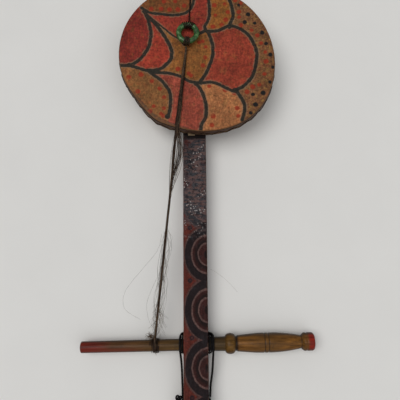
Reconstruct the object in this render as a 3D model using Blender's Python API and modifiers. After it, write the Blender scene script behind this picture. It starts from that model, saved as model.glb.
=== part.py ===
"""A one-string spike fiddle: a shallow round body with a hide on each face, and a long square neck
let through it. A horsehair string is tied to a ring. It runs over the front hide and beside the neck to
a turned peg, which goes through the neck and is held by a lashing cord.

It lies on its back. +Z is the front hide's outward normal, +Y runs along the neck towards the body, and
the origin is under the middle of the body, on the back hide. Lengths are in metres.
"""

import math

import bmesh
import bpy
from mathutils import Matrix, Vector

# Body
BODY_RADIUS = 0.1103
BODY_DEPTH = 0.054
HIDE = 0.0012
HOOP_WALL = 0.007
GAP = 0.0003
WALL_FULL_Z = 0.040
WALL_TAPER = 0.014
WALL_CURVE = 1.2
FRONT_DROP = 0.0045
BACK_DROP = 0.004
BACK_EDGE = 0.003
FRONT_HEM_Z = 0.0435
BACK_HEM_Z = 0.0412
AROUND = 72

# The hand-bent outline: how far each feature moves the edge, where it is, and half its width
OVAL = 0.003
OVAL_AT = math.radians(125)
BULGE = (0.0047, math.radians(-48), math.radians(30))
CORNER = (0.0026, math.radians(-120), math.radians(11))
FLAT = (-0.002, math.radians(-146), math.radians(12))
SHOULDER = 0.0032
WIDE_SHOULDER = (0.005, math.radians(-122), math.radians(24))

# Neck, its spike through the body and its tail
NECK_X = -0.004
NECK_WIDTH = 0.0323
NECK_BACK_Z = 0.0015
NECK_FRONT_Z = 0.0275
NECK_TIP_Y = -0.512
NECK_INNER_Y = -0.088
SPIKE_WIDTH = 0.020
SPIKE_Z = (0.003, 0.019)
TAIL_SIZE = 0.012
TAIL_Z = 0.012
TAIL_START_Y = 0.085
TAIL_END_Y = 0.128
TAIL_HEAD = 0.0015
SLOT_TOP_Z = 0.036
SLOT_PLAY = 0.0006

# Peg, measured along its axis from the middle of the neck
PEG_AT = Vector((NECK_X, -0.3924, 0.0145))
PEG_TILT = math.radians(0.9)
PEG_LEFT = -0.1510
PEG_RIGHT = 0.1546
ROD_RADIUS = 0.0075
ROD_NECK_RADIUS = 0.0084
ROD_COLLAR_RADIUS = 0.0093
BEAD_AT = 0.0447
BEAD_RADIUS = 0.0132
BEAD_HALF = 0.0065
WAIST_AT = 0.0527
WAIST_RADIUS = 0.0101
BARREL_AT = 0.092
BARREL_RADIUS = 0.0128
BARREL_END = 0.1375
BARREL_END_RADIUS = 0.0084
KNOB_RADIUS = 0.0118
GROOVES = (0.0895, 0.0948)
GROOVE_HALF = 0.0009

# Ring and string
RING_AT = Vector((-0.012, 0.0294, 0.0608))
RING_MAJOR = 0.01255
RING_MINOR = 0.0038
HAIR_RADIUS = 0.0011
STRING_RADIUS = 0.0018
CORD_RADIUS = 0.0009
WINDING_AT = -0.0533
WINDING_TURNS = 4

# Lashing
LASH_RADIUS = 0.001
LASH_Z = 0.0027
TIE_Y = -0.461
TIE_TURNS = 3
GROOVE_DEPTH = 0.0030

MODEL = "spike_fiddle"
GUIDES = "cutters"


def clear_scene():
    """Remove what the scene holds and make the two collections."""
    for item in list(bpy.data.objects):
        bpy.data.objects.remove(item, do_unlink=True)
    for name in (MODEL, GUIDES):
        group = bpy.data.collections.new(name)
        bpy.context.scene.collection.children.link(group)


def finish_material(obj, color, roughness, metallic=0.0):
    """Give a piece its own Principled material."""
    made = bpy.data.materials.new(obj.name)
    made.use_nodes = True
    shader = made.node_tree.nodes["Principled BSDF"]
    shader.inputs["Base Color"].default_value = (*color, 1.0)
    shader.inputs["Roughness"].default_value = roughness
    shader.inputs["Metallic"].default_value = metallic
    obj.data.materials.clear()
    obj.data.materials.append(made)


def add_mesh(name, bm, group=MODEL):
    """Link a bmesh as an object and free it."""
    bmesh.ops.recalc_face_normals(bm, faces=bm.faces[:])
    mesh = bpy.data.meshes.new(name)
    bm.to_mesh(mesh)
    bm.free()
    obj = bpy.data.objects.new(name, mesh)
    bpy.data.collections[group].objects.link(obj)
    return obj


def round_shading(obj, angle=35):
    """Smooth shading with the sharp edges kept."""
    obj.data.shade_smooth()
    obj.data.set_sharp_from_angle(angle=math.radians(angle))


def box(name, low, high, group=MODEL):
    """A block between two corners."""
    low = Vector(low)
    size = Vector(high) - low
    bm = bmesh.new()
    bmesh.ops.create_cube(bm, size=1.0)
    bmesh.ops.scale(bm, vec=size, verts=bm.verts)
    bmesh.ops.translate(bm, vec=low + size / 2, verts=bm.verts)
    return add_mesh(name, bm, group)


def bevel(obj, width, segments=2):
    """Round the edges of a piece."""
    edge = obj.modifiers.new("rounded_edges", "BEVEL")
    edge.width = width
    edge.segments = segments
    edge.limit_method = "ANGLE"


def combine(obj, other, operation):
    """Cut a guide from a piece, or join it on."""
    other.hide_render = True
    other.display_type = "WIRE"
    step = obj.modifiers.new(f"{operation.lower()}_{other.name}", "BOOLEAN")
    step.operation = operation
    step.solver = "EXACT"
    step.object = other


def smooth_path(points, between, closed=False):
    """Points on one smooth curve through the given points."""
    points = [Vector(p) for p in points]
    last = len(points) if closed else len(points) - 1
    path = []
    for i in range(last):
        if closed:
            a, b, c, d = (points[(i + k) % len(points)] for k in (-1, 0, 1, 2))
        else:
            a = points[max(i - 1, 0)]
            b, c = points[i], points[i + 1]
            d = points[min(i + 2, len(points) - 1)]
        for k in range(between):
            t = k / between
            path.append(
                0.5
                * (
                    2 * b
                    + (c - a) * t
                    + (2 * a - 5 * b + 4 * c - d) * t * t
                    + (3 * b - a - 3 * c + d) * t**3
                )
            )
    if not closed:
        path.append(points[-1])
    return path


def tube(name, path, radius, closed=False, thin_to=1.0):
    """A round cord along a path; thin_to is its far end's size as a share of its first."""
    curve = bpy.data.curves.new(name, "CURVE")
    curve.dimensions = "3D"
    curve.bevel_depth = radius
    curve.bevel_resolution = 2
    curve.use_fill_caps = not closed
    spline = curve.splines.new("POLY")
    spline.points.add(len(path) - 1)
    spline.use_cyclic_u = closed
    for i, place in enumerate(path):
        spline.points[i].co = (*place, 1.0)
        spline.points[i].radius = 1.0 + (thin_to - 1.0) * i / (len(path) - 1)
    obj = bpy.data.objects.new(name, curve)
    bpy.data.collections[MODEL].objects.link(obj)
    return obj


# Body


def swell(angle, feature):
    """How far one feature of the outline moves the edge at this angle."""
    height, middle, width = feature
    away = (angle - middle + math.pi) % (2 * math.pi) - math.pi
    return height * math.exp(-((away / width) ** 2))


def outline(angle):
    """The body's largest radius at this angle about its middle."""
    oval = OVAL * math.cos(2 * (angle - OVAL_AT))
    features = sum(swell(angle, f) for f in (BULGE, CORNER, FLAT))
    return BODY_RADIUS + oval + features


def shoulder(angle):
    """How far in the flat front starts, where the edge rounds over."""
    return SHOULDER + swell(angle, WIDE_SHOULDER)


def lean(z):
    """How far the side has leaned in at this height; it is full at WALL_FULL_Z and narrows to the back."""
    return WALL_TAPER * (max(WALL_FULL_Z - z, 0.0) / WALL_FULL_Z) ** WALL_CURVE


def rounded(wall, flat, steps):
    """A quarter turn from the wall, where it is upright, to the flat face; each is (inset, z)."""
    turn = []
    for i in range(steps + 1):
        a = math.pi / 2 * i / steps
        inset = wall[0] + (flat[0] - wall[0]) * (1 - math.cos(a))
        turn.append((inset, wall[1] + (flat[1] - wall[1]) * math.sin(a)))
    return turn


def front_edge(angle, inside):
    """The rounded front edge, wall first, at a depth inside the hide's outer face."""
    wall = (inside, BODY_DEPTH - FRONT_DROP)
    flat = (shoulder(angle), BODY_DEPTH - inside)
    return rounded(wall, flat, 3)


def back_edge(inside):
    """The rounded back edge, wall first, at a depth inside the hide's outer face."""
    wall = (lean(BACK_DROP) + inside, BACK_DROP)
    flat = (lean(0.0) + BACK_EDGE, inside)
    return rounded(wall, flat, 2)


def wall(z_from, z_to, inside, steps=4):
    """The side between two heights, at a depth inside the hide's outer face."""
    heights = [z_from + (z_to - z_from) * i / steps for i in range(steps + 1)]
    return [(lean(z) + inside, z) for z in heights]


def front_hide_section(angle):
    """From the middle of the front out, down the hem and back along the inner face."""
    outer = front_edge(angle, 0.0)[::-1]
    inner = front_edge(angle, HIDE)
    return [*outer, (0.0, FRONT_HEM_Z), (HIDE, FRONT_HEM_Z), *inner]


def back_hide_section(angle):
    """From the middle of the back out, up the hem and back along the inner face."""
    outer = back_edge(0.0)[::-1]
    inner = back_edge(HIDE)
    up = wall(BACK_DROP, BACK_HEM_Z, 0.0)[1:]
    down = wall(BACK_HEM_Z, BACK_DROP, HIDE)[:-1]
    return [*outer, *up, *down, *inner]


def hoop_section(angle):
    """The bent frame's section: outer side, back edge, inner side and front edge."""
    under = HIDE + GAP
    inner = under + HOOP_WALL
    side = wall(BACK_HEM_Z, BACK_DROP, under)
    front = front_edge(angle, under)[::-1]
    back = [(lean(0.0) + BACK_EDGE + GAP, under), (lean(0.0) + inner, under)]
    return [*front, *side, *back, (lean(0.02) + inner, 0.02), (inner, WALL_FULL_Z), (inner, BODY_DEPTH - under)]


def around_body(name, section_at, middle=None):
    """Loft a section round the outline. middle holds the two heights where a hide crosses the axis."""
    bm = bmesh.new()
    rows = []
    for step in range(AROUND):
        angle = 2 * math.pi * step / AROUND
        edge = outline(angle)
        way = Vector((math.cos(angle), math.sin(angle), 0.0))
        rows.append([bm.verts.new(way * (edge - inset) + Vector((0, 0, z))) for inset, z in section_at(angle)])
    poles = [bm.verts.new((0.0, 0.0, z)) for z in middle] if middle else []
    count = len(rows[0])
    for step in range(AROUND):
        here, there = rows[step], rows[(step + 1) % AROUND]
        for k in range(count - 1):
            bm.faces.new((here[k], here[k + 1], there[k + 1], there[k]))
        if poles:
            bm.faces.new((poles[0], here[0], there[0]))
            bm.faces.new((poles[1], there[-1], here[-1]))
        else:
            bm.faces.new((here[-1], here[0], there[0], there[-1]))
    obj = add_mesh(name, bm)
    round_shading(obj)
    return obj


def make_body():
    """The bent hoop, a hide on each face, and the thong that laces their hems together."""
    half = NECK_WIDTH / 2 + SLOT_PLAY
    hole = TAIL_SIZE / 2 + SLOT_PLAY
    hoop_slot = box("hoop_slot", (NECK_X - half, -0.14, -0.01), (NECK_X + half, -0.075, SLOT_TOP_Z), GUIDES)
    hide_slot = box(
        "hide_slot", (NECK_X - half, -0.14, HIDE + GAP / 2), (NECK_X + half, -0.075, SLOT_TOP_Z), GUIDES
    )
    tail_hole = box(
        "tail_hole", (NECK_X - hole, 0.08, TAIL_Z - hole), (NECK_X + hole, 0.13, TAIL_Z + hole), GUIDES
    )

    hoop = around_body("hoop", hoop_section)
    combine(hoop, hoop_slot, "DIFFERENCE")
    combine(hoop, tail_hole, "DIFFERENCE")
    finish_material(hoop, (0.30, 0.17, 0.08), 0.7)

    front = around_body("front_skin", front_hide_section, (BODY_DEPTH, BODY_DEPTH - HIDE))
    finish_material(front, (0.36, 0.12, 0.06), 0.55)

    back = around_body("back_skin", back_hide_section, (0.0, HIDE))
    combine(back, hide_slot, "DIFFERENCE")
    combine(back, tail_hole, "DIFFERENCE")
    finish_material(back, (0.30, 0.20, 0.11), 0.6)


def make_seam_lacing():
    """A thong that zigzags over the seam between the two hems."""
    stitches = 36
    radius = 0.0006
    proud = radius + GAP + 0.0002
    path = []
    for i in range(2 * stitches):
        angle = math.pi * i / stitches
        z = 0.0465 if i % 2 else 0.0375
        reach = outline(angle) - lean(z) + proud
        path.append((reach * math.cos(angle), reach * math.sin(angle), z))
    lacing = tube("seam_lacing", path, radius, closed=True)
    finish_material(lacing, (0.08, 0.05, 0.035), 0.8)


# Neck


def make_neck():
    """The square neck, its thinner spike through the body, the tail and the hole for the peg."""
    half = NECK_WIDTH / 2
    neck = box(
        "neck", (NECK_X - half, NECK_TIP_Y, NECK_BACK_Z), (NECK_X + half, NECK_INNER_Y, NECK_FRONT_Z)
    )
    bevel(neck, 0.0012)
    spike = box(
        "spike",
        (NECK_X - SPIKE_WIDTH / 2, NECK_INNER_Y - 0.01, SPIKE_Z[0]),
        (NECK_X + SPIKE_WIDTH / 2, TAIL_START_Y, SPIKE_Z[1]),
        GUIDES,
    )
    tail = box(
        "tail",
        (NECK_X - TAIL_SIZE / 2, TAIL_START_Y - 0.01, TAIL_Z - TAIL_SIZE / 2),
        (NECK_X + TAIL_SIZE / 2, TAIL_END_Y, TAIL_Z + TAIL_SIZE / 2),
        GUIDES,
    )
    head = box(
        "tail_head",
        (NECK_X - TAIL_SIZE / 2 - TAIL_HEAD, TAIL_END_Y - 0.005, TAIL_Z - TAIL_SIZE / 2 - TAIL_HEAD),
        (NECK_X + TAIL_SIZE / 2 + TAIL_HEAD, TAIL_END_Y + 0.002, TAIL_Z + TAIL_SIZE / 2 + TAIL_HEAD),
        GUIDES,
    )
    bevel(head, 0.0012)
    for piece in (spike, tail, head):
        combine(neck, piece, "UNION")

    bm = bmesh.new()
    bmesh.ops.create_cone(
        bm,
        cap_ends=True,
        segments=32,
        radius1=peg_radius(-0.022) + GAP,
        radius2=peg_radius(0.022) + GAP,
        depth=0.044,
    )
    hole = add_mesh("peg_hole", bm, GUIDES)
    hole.matrix_world = peg_frame()
    combine(neck, hole, "DIFFERENCE")

    for name, low_y, high_y in (
        ("upper_groove", -0.3827, -0.3771),
        ("lower_groove", -0.4057, -0.4025),
        ("tie_groove", TIE_Y - 0.0063, TIE_Y + 0.0014),
    ):
        groove = box(
            name,
            (NECK_X - 0.03, low_y, NECK_BACK_Z - 0.01),
            (NECK_X + 0.03, high_y, NECK_BACK_Z + GROOVE_DEPTH),
            GUIDES,
        )
        combine(neck, groove, "DIFFERENCE")
    finish_material(neck, (0.14, 0.035, 0.025), 0.5)


def make_wedge():
    """A pale wedge driven in over the neck to tighten it in the hoop's slot."""
    bm = bmesh.new()
    bmesh.ops.create_cube(bm, size=1.0)
    low = Vector((-0.0128, -0.1095, NECK_FRONT_Z + GAP))
    size = Vector((0.0095, 0.022, 0.0046))
    bmesh.ops.scale(bm, vec=size, verts=bm.verts)
    bmesh.ops.translate(bm, vec=low + size / 2, verts=bm.verts)
    for vert in bm.verts:
        if vert.co.y > low.y + size.y / 2 and vert.co.z > low.z + size.z / 2:
            vert.co.z -= size.z * 0.6
    wedge = add_mesh("neck_wedge", bm)
    finish_material(wedge, (0.55, 0.42, 0.27), 0.75)


# Peg


def peg_frame():
    """The peg's own frame: local +Z runs along its axis to the handle."""
    along = Vector((math.cos(PEG_TILT), math.sin(PEG_TILT), 0.0))
    up = Vector((0.0, 0.0, 1.0))
    across = up.cross(along)
    return Matrix.Translation(PEG_AT) @ Matrix((up, across, along)).transposed().to_4x4()


def peg_radius(t):
    """The rod's radius: even on the string's side and growing through the neck to the collar."""
    if t < -0.02:
        return ROD_RADIUS + (ROD_NECK_RADIUS - 0.0006 - ROD_RADIUS) * max(0.0, (t + 0.13) / 0.11)
    return ROD_NECK_RADIUS - 0.0006 + (ROD_COLLAR_RADIUS - ROD_NECK_RADIUS + 0.0006) * (t + 0.02) / 0.056


def barrel_radius(t):
    """The handle's swelling between the waist and its narrow end."""
    if t < BARREL_AT:
        share = (t - WAIST_AT) / (BARREL_AT - WAIST_AT)
        return WAIST_RADIUS + (BARREL_RADIUS - WAIST_RADIUS) * math.sin(share * math.pi / 2)
    share = (t - BARREL_AT) / (BARREL_END - BARREL_AT)
    return BARREL_RADIUS - (BARREL_RADIUS - BARREL_END_RADIUS) * share**2.2


def peg_profile():
    """Places along the peg with their radii, from its left end to the knob."""
    profile = [(PEG_LEFT, 0.0), (PEG_LEFT, ROD_RADIUS - 0.0008), (PEG_LEFT + 0.0008, ROD_RADIUS)]
    profile += [(t, peg_radius(t)) for t in (-0.13, -0.06, -0.02, 0.036)]
    for i in range(9):
        a = math.pi * i / 8
        reach = ROD_COLLAR_RADIUS + 0.0002 + (BEAD_RADIUS - ROD_COLLAR_RADIUS) * math.sin(a)
        profile.append((BEAD_AT - BEAD_HALF * math.cos(a), reach))
    profile.append((WAIST_AT, WAIST_RADIUS))
    places = [0.060, 0.070, 0.080, 0.105, 0.115, 0.124, 0.131, BARREL_END]
    profile += [(t, barrel_radius(t)) for t in places]
    for groove in GROOVES:
        for off, depth in ((-GROOVE_HALF, 0.0), (0.0, GROOVE_HALF), (GROOVE_HALF, 0.0)):
            profile.append((groove + off, barrel_radius(groove) - depth))
    profile += [
        (BARREL_END + 0.0025, KNOB_RADIUS - 0.0012),
        (BARREL_END + 0.0055, KNOB_RADIUS),
        (PEG_RIGHT - 0.0035, KNOB_RADIUS - 0.0002),
        (PEG_RIGHT - 0.0006, KNOB_RADIUS - 0.002),
        (PEG_RIGHT, 0.0),
    ]
    return sorted(profile, key=lambda place: (place[0], place[1] if place[0] < 0 else -place[1]))


def make_peg():
    """The turned peg."""
    bm = bmesh.new()
    previous = None
    for t, radius in reversed(peg_profile()):
        vert = bm.verts.new((radius, 0.0, t))
        if previous:
            bm.edges.new((previous, vert))
        previous = vert
    peg = add_mesh("tuning_peg", bm)
    turn = peg.modifiers.new("turned", "SCREW")
    turn.steps = 28
    turn.render_steps = 28
    turn.use_merge_vertices = True
    turn.merge_threshold = 0.00001
    turn.use_normal_calculate = False
    peg.matrix_world = peg_frame()
    peg.data.shade_smooth()
    finish_material(peg, (0.42, 0.20, 0.06), 0.35)


# String, ring and tail


def coil_on_ring(middle, turns, wrap, pitch, steps):
    """Turns of cord round the ring's own section, spread about one place on the ring."""
    reach = RING_MINOR + GAP + wrap
    path = []
    for i in range(turns * steps + 1):
        share = i / (turns * steps) - 0.5
        place = middle + share * turns * pitch / RING_MAJOR
        out = Vector((math.cos(place), math.sin(place), 0.0))
        turn = 2 * math.pi * share * turns
        path.append(RING_AT + out * (RING_MAJOR + reach * math.cos(turn)) + Vector((0, 0, reach * math.sin(turn))))
    return path


def make_ring():
    """The ring between the tail cord and the string, with each one's turns on it."""
    bpy.ops.mesh.primitive_torus_add(
        major_radius=RING_MAJOR,
        minor_radius=RING_MINOR,
        major_segments=36,
        minor_segments=12,
        location=RING_AT,
    )
    ring = bpy.context.active_object
    ring.name = "string_ring"
    ring.data.name = "string_ring"
    for group in list(ring.users_collection):
        group.objects.unlink(ring)
    bpy.data.collections[MODEL].objects.link(ring)
    ring.data.shade_smooth()
    finish_material(ring, (0.03, 0.16, 0.03), 0.2)

    towards_peg = math.radians(-96.3)
    towards_tail = math.radians(83.7)
    hitch = tube("ring_hitch", coil_on_ring(towards_tail, 5, CORD_RADIUS, 0.0022, 12), CORD_RADIUS)
    finish_material(hitch, (0.02, 0.008, 0.008), 0.7)
    loop = tube("hair_loop", coil_on_ring(towards_peg, 3, HAIR_RADIUS, 0.0025, 28), HAIR_RADIUS)
    finish_material(loop, (0.035, 0.022, 0.018), 0.5)


def make_string():
    """The hair string from the ring over the front edge and beside the neck to the peg, and its turns."""
    route = [
        (-0.0143, 0.0088, 0.0590),
        (-0.0149, 0.0030, 0.0572),
        (-0.0158, -0.0050, 0.0563),
        (-0.0199, -0.0430, 0.0562),
        (-0.0235, -0.0760, 0.0562),
        (-0.0266, -0.1040, 0.0562),
        (-0.0279, -0.1160, 0.0549),
        (-0.0312, -0.1460, 0.0514),
        (-0.0386, -0.2150, 0.0436),
        (-0.0468, -0.2910, 0.0350),
        (-0.0566, -0.3820, 0.0260),
    ]
    string = tube("hair_string", smooth_path(route, 2), STRING_RADIUS, thin_to=0.7)
    finish_material(string, (0.05, 0.035, 0.028), 0.5)

    frame = peg_frame()
    steps = 14
    reach = peg_radius(WINDING_AT) + GAP + HAIR_RADIUS
    path = []
    for i in range(WINDING_TURNS * steps + 1):
        turn = 2 * math.pi * i / steps
        along = WINDING_AT + (i / (WINDING_TURNS * steps) - 0.5) * WINDING_TURNS * 0.0023
        path.append(frame @ Vector((reach * math.cos(turn), reach * math.sin(turn), along)))
    winding = tube("string_winding", path, HAIR_RADIUS)
    finish_material(winding, (0.035, 0.022, 0.018), 0.5)


def make_tail_cord():
    """The cord from the ring over the far edge to its turns round the tail."""
    route = [
        (-0.0104, 0.0482, 0.0592),
        (-0.0100, 0.0540, 0.0566),
        (-0.0095, 0.0620, 0.0553),
        (-0.0080, 0.0860, 0.0553),
        (-0.0068, 0.1050, 0.0553),
        (-0.0064, 0.1105, 0.0546),
        (-0.0060, 0.1138, 0.0520),
        (-0.0056, 0.1149, 0.0470),
        (-0.0050, 0.1153, 0.0370),
        (-0.0044, 0.1160, 0.0270),
        (-0.0041, 0.1165, 0.0210),
    ]
    cord = tube("tail_cord", smooth_path(route, 2), CORD_RADIUS)
    finish_material(cord, (0.02, 0.008, 0.008), 0.7)

    turns = 3
    corners = 16
    reach = TAIL_SIZE / 2 + GAP + CORD_RADIUS
    path = []
    for i in range(turns * corners + 1):
        a = 2 * math.pi * i / corners
        x = reach * max(-1.0, min(1.0, 1.35 * math.cos(a)))
        z = reach * max(-1.0, min(1.0, 1.35 * math.sin(a)))
        path.append((NECK_X + x, 0.1145 + 0.0022 * i / corners, TAIL_Z + z))
    hitch = tube("tail_hitch", path, CORD_RADIUS)
    finish_material(hitch, (0.02, 0.008, 0.008), 0.7)


# Lashing


def over_peg(x, top_y, low_y, clear):
    """A cord's way down the front of the peg beside the neck, from above it to below it."""
    radius = peg_radius(x - NECK_X) + clear
    middle_y = PEG_AT.y + (x - NECK_X) * math.tan(PEG_TILT)
    path = [(x, top_y, 0.0085)]
    for degrees in (15, 50, 90, 130, 165):
        a = math.radians(degrees)
        path.append((x, middle_y + radius * math.cos(a), PEG_AT.z + radius * math.sin(a)))
    path.append((x, low_y, 0.0085))
    return path


def make_lashing():
    """The cord that draws the peg back in its hole: two bights over it, the legs, the tie and its knot."""
    left = NECK_X - NECK_WIDTH / 2
    right = NECK_X + NECK_WIDTH / 2
    clear = GAP + LASH_RADIUS
    black = (0.012, 0.011, 0.012)

    inner_left = over_peg(left - clear, -0.3814, -0.4038, clear)
    inner_right = over_peg(right + clear, -0.3814, -0.4044, clear)
    route = [(left + 0.003, -0.3811, LASH_Z), (left - 0.0009, -0.3812, 0.0034)]
    route += inner_left
    route += [(left - 0.0009, -0.4041, 0.0034), (left + 0.003, -0.4041, LASH_Z)]
    route += [(NECK_X, -0.4041, LASH_Z)]
    route += [(right - 0.003, -0.4041, LASH_Z), (right + 0.0009, -0.4042, 0.0034)]
    route += inner_right[::-1]
    route += [(right + 0.0009, -0.3812, 0.0034), (right - 0.003, -0.3811, LASH_Z), (NECK_X, -0.3811, LASH_Z)]
    inner = tube("lashing_inner", smooth_path(route, 2, closed=True), LASH_RADIUS, closed=True)
    finish_material(inner, black, 0.6)

    route = [(left - clear - 0.0002, TIE_Y + 0.0030, 0.0120), (left - clear - 0.0004, -0.4440, 0.0150)]
    route += [(left - 0.0024, -0.4204, 0.0190), (left - 0.0036, -0.4070, 0.0205)]
    route += over_peg(left - 0.0046, -0.3800, -0.4038, clear + GAP)[-3:0:-1]
    route += [(left - 0.0038, -0.3806, 0.0110), (left - 0.0016, -0.3789, 0.0042), (left + 0.003, -0.3785, LASH_Z)]
    route += [(NECK_X, -0.3785, LASH_Z), (right - 0.003, -0.3785, LASH_Z), (right + 0.0020, -0.3789, 0.0042)]
    route += [(right + 0.0050, -0.3801, 0.0110)]
    route += over_peg(right + 0.0063, -0.3800, -0.4038, clear + 2 * GAP)[1:-2]
    route += [(right + 0.0058, -0.4090, 0.0215), (right + 0.0045, -0.4270, 0.0190)]
    route += [(right + 0.0024, -0.4420, 0.0160), (right + clear + 0.0002, TIE_Y + 0.0030, 0.0130)]
    outer = tube("lashing_outer", smooth_path(route, 2), LASH_RADIUS)
    finish_material(outer, black, 0.6)

    low, high = LASH_Z, NECK_FRONT_Z + clear
    corner = 0.0016
    lap = [
        (left - clear, low + corner),
        (left - clear, high - corner),
        (left - clear + corner, high),
        (right + clear - corner, high),
        (right + clear, high - corner),
        (right + clear, low + corner),
        (right + clear - corner, low),
        (left - clear + corner, low),
    ]
    path = []
    for i in range(TIE_TURNS * len(lap) + 1):
        x, z = lap[i % len(lap)]
        path.append((x, TIE_Y - 0.0023 * i / len(lap) * 0.8, z))
    tie = tube("lashing_tie", path, LASH_RADIUS)
    finish_material(tie, black, 0.6)

    bm = bmesh.new()
    bmesh.ops.create_icosphere(bm, subdivisions=2, radius=1.0)
    bmesh.ops.scale(bm, vec=(0.0031, 0.0046, 0.0042), verts=bm.verts)
    bmesh.ops.translate(bm, vec=(left - 2 * clear - 0.0035, TIE_Y - 0.0006, 0.0170), verts=bm.verts)
    knot = add_mesh("lashing_knot", bm)
    knot.data.shade_smooth()
    finish_material(knot, black, 0.7)

    ends = [(-0.0275, -0.4668, 0.0165), (-0.0290, -0.4730, 0.0150), (-0.0305, -0.4860, 0.0110)]
    tassel = tube("lashing_tassel", smooth_path(ends, 3), 0.0016, thin_to=1.7)
    finish_material(tassel, black, 0.8)


def main():
    clear_scene()
    make_body()
    make_seam_lacing()
    make_neck()
    make_wedge()
    make_peg()
    make_ring()
    make_string()
    make_tail_cord()
    make_lashing()


main()
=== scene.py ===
"""The looks of the one-string spike fiddle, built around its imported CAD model.

The front hide is a dense sheet. Each of its points knows how far it is from the painted lines and dots, and
the hide's material turns those distances into brush strokes with uneven edges. The neck's painted arches and
the peg's zones work the same way. The string is a bundle of hairs, and the cords are laid from twisted plies.
"""

import math
import random

import bmesh
import bpy
import numpy as np
from mathutils import Matrix, Vector, noise


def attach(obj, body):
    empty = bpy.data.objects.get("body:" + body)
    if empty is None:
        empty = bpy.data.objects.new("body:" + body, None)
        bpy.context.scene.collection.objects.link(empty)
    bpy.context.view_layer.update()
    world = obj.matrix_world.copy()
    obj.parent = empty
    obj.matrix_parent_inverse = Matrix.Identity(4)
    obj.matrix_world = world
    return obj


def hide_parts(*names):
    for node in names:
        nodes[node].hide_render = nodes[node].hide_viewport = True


MM = 0.001

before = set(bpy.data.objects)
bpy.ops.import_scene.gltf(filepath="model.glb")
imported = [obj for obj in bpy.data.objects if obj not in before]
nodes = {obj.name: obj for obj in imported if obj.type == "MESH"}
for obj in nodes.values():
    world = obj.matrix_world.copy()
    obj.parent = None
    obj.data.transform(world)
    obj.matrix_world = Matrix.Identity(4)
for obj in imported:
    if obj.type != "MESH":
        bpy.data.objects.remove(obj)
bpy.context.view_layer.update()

# The body, as the CAD has it. A feature of the outline is its height, its angle and its half width.
BODY_RADIUS = 0.1103
BODY_DEPTH = 0.054
HIDE = 0.0012
GAP = 0.0003
WALL_FULL_Z = 0.040
WALL_TAPER = 0.014
WALL_CURVE = 1.2
FRONT_DROP = 0.0045
BACK_DROP = 0.004
BACK_EDGE = 0.003
FRONT_HEM_Z = 0.0435
BACK_HEM_Z = 0.0412
OVAL = 0.003
OVAL_AT = math.radians(125)
BULGE = (0.0047, math.radians(-48), math.radians(30))
CORNER = (0.0026, math.radians(-120), math.radians(11))
FLAT = (-0.002, math.radians(-146), math.radians(12))
SHOULDER = 0.0032
WIDE_SHOULDER = (0.005, math.radians(-122), math.radians(24))

# The neck, as the CAD has it
NECK_X = -0.004
NECK_WIDTH = 0.0323
NECK_BACK_Z = 0.0015
NECK_FRONT_Z = 0.0275
NECK_LEFT = NECK_X - NECK_WIDTH / 2
NECK_RIGHT = NECK_X + NECK_WIDTH / 2
NECK_TIP_Y = -0.512
NECK_INNER_Y = -0.088
SPIKE_WIDTH = 0.020
SPIKE_Z = (0.003, 0.019)
TAIL_SIZE = 0.012
TAIL_Z = 0.012
TAIL_START_Y = 0.085
TAIL_END_Y = 0.130
TAIL_HEAD = 0.0015
SLOT_TOP_Z = 0.036
SLOT_PLAY = 0.0006
GROOVE_DEPTH = 0.0030
TIE_Y = -0.461
CORD_GROOVES = ((-0.3827, -0.3771), (-0.4057, -0.4025), (TIE_Y - 0.0063, TIE_Y + 0.0014))

# The peg, as the CAD has it, with places along its axis from the middle of the neck
PEG_AT = Vector((NECK_X, -0.3924, 0.0145))
PEG_TILT = math.radians(0.9)
PEG_LEFT = -0.1510
PEG_RIGHT = 0.1546
PEG_ROUNDING = 0.0016
ROD_RADIUS = 0.0075
ROD_NECK_RADIUS = 0.0078
ROD_COLLAR_RADIUS = 0.0093
BEAD_AT = 0.0447
BEAD_RADIUS = 0.0132
BEAD_HALF = 0.0065
WAIST_AT = 0.0527
WAIST_RADIUS = 0.0101
BARREL_AT = 0.092
BARREL_RADIUS = 0.0128
BARREL_END = 0.1375
BARREL_END_RADIUS = 0.0084
KNOB_RADIUS = 0.0118
PEG_GROOVES = (0.0895, 0.0948)
GROOVE_HALF = 0.0009

# The ring, string and cords, as the CAD has them
RING_AT = Vector((-0.012, 0.0294, 0.0608))
RING_MAJOR = 0.01255
RING_MINOR = 0.0038
HAIR_RADIUS = 0.0011
CORD_RADIUS = 0.0009
LASH_RADIUS = 0.001
LASH_THICK = 0.00145
LASH_Z = 0.0027
LASH_PITCH = 0.0052
LASH_THICK_PITCH = 0.0060
CORD_PITCH = 0.0042
OVER_PEG_END_Z = 0.0085
WINDING_AT = -0.0533
WINDING_TURNS = 4
WINDING_PITCH = 0.0023

# The camera looks down on the front hide from beyond the peg, a little off the hide's normal
CAMERA_DISTANCE = 0.620
CAMERA_OFF_NORMAL = math.radians(11.5)
CAMERA_ROLL = math.radians(-0.54)
CAMERA_TARGET = Vector((0.003, -0.2044, 0.040))
CAMERA_LENS = 41.67


# Camera, light and floor


def link_object(name, data):
    """Put a mesh, curve, light or camera into the scene."""
    obj = bpy.data.objects.new(name, data)
    bpy.context.scene.collection.objects.link(obj)
    return obj


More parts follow.
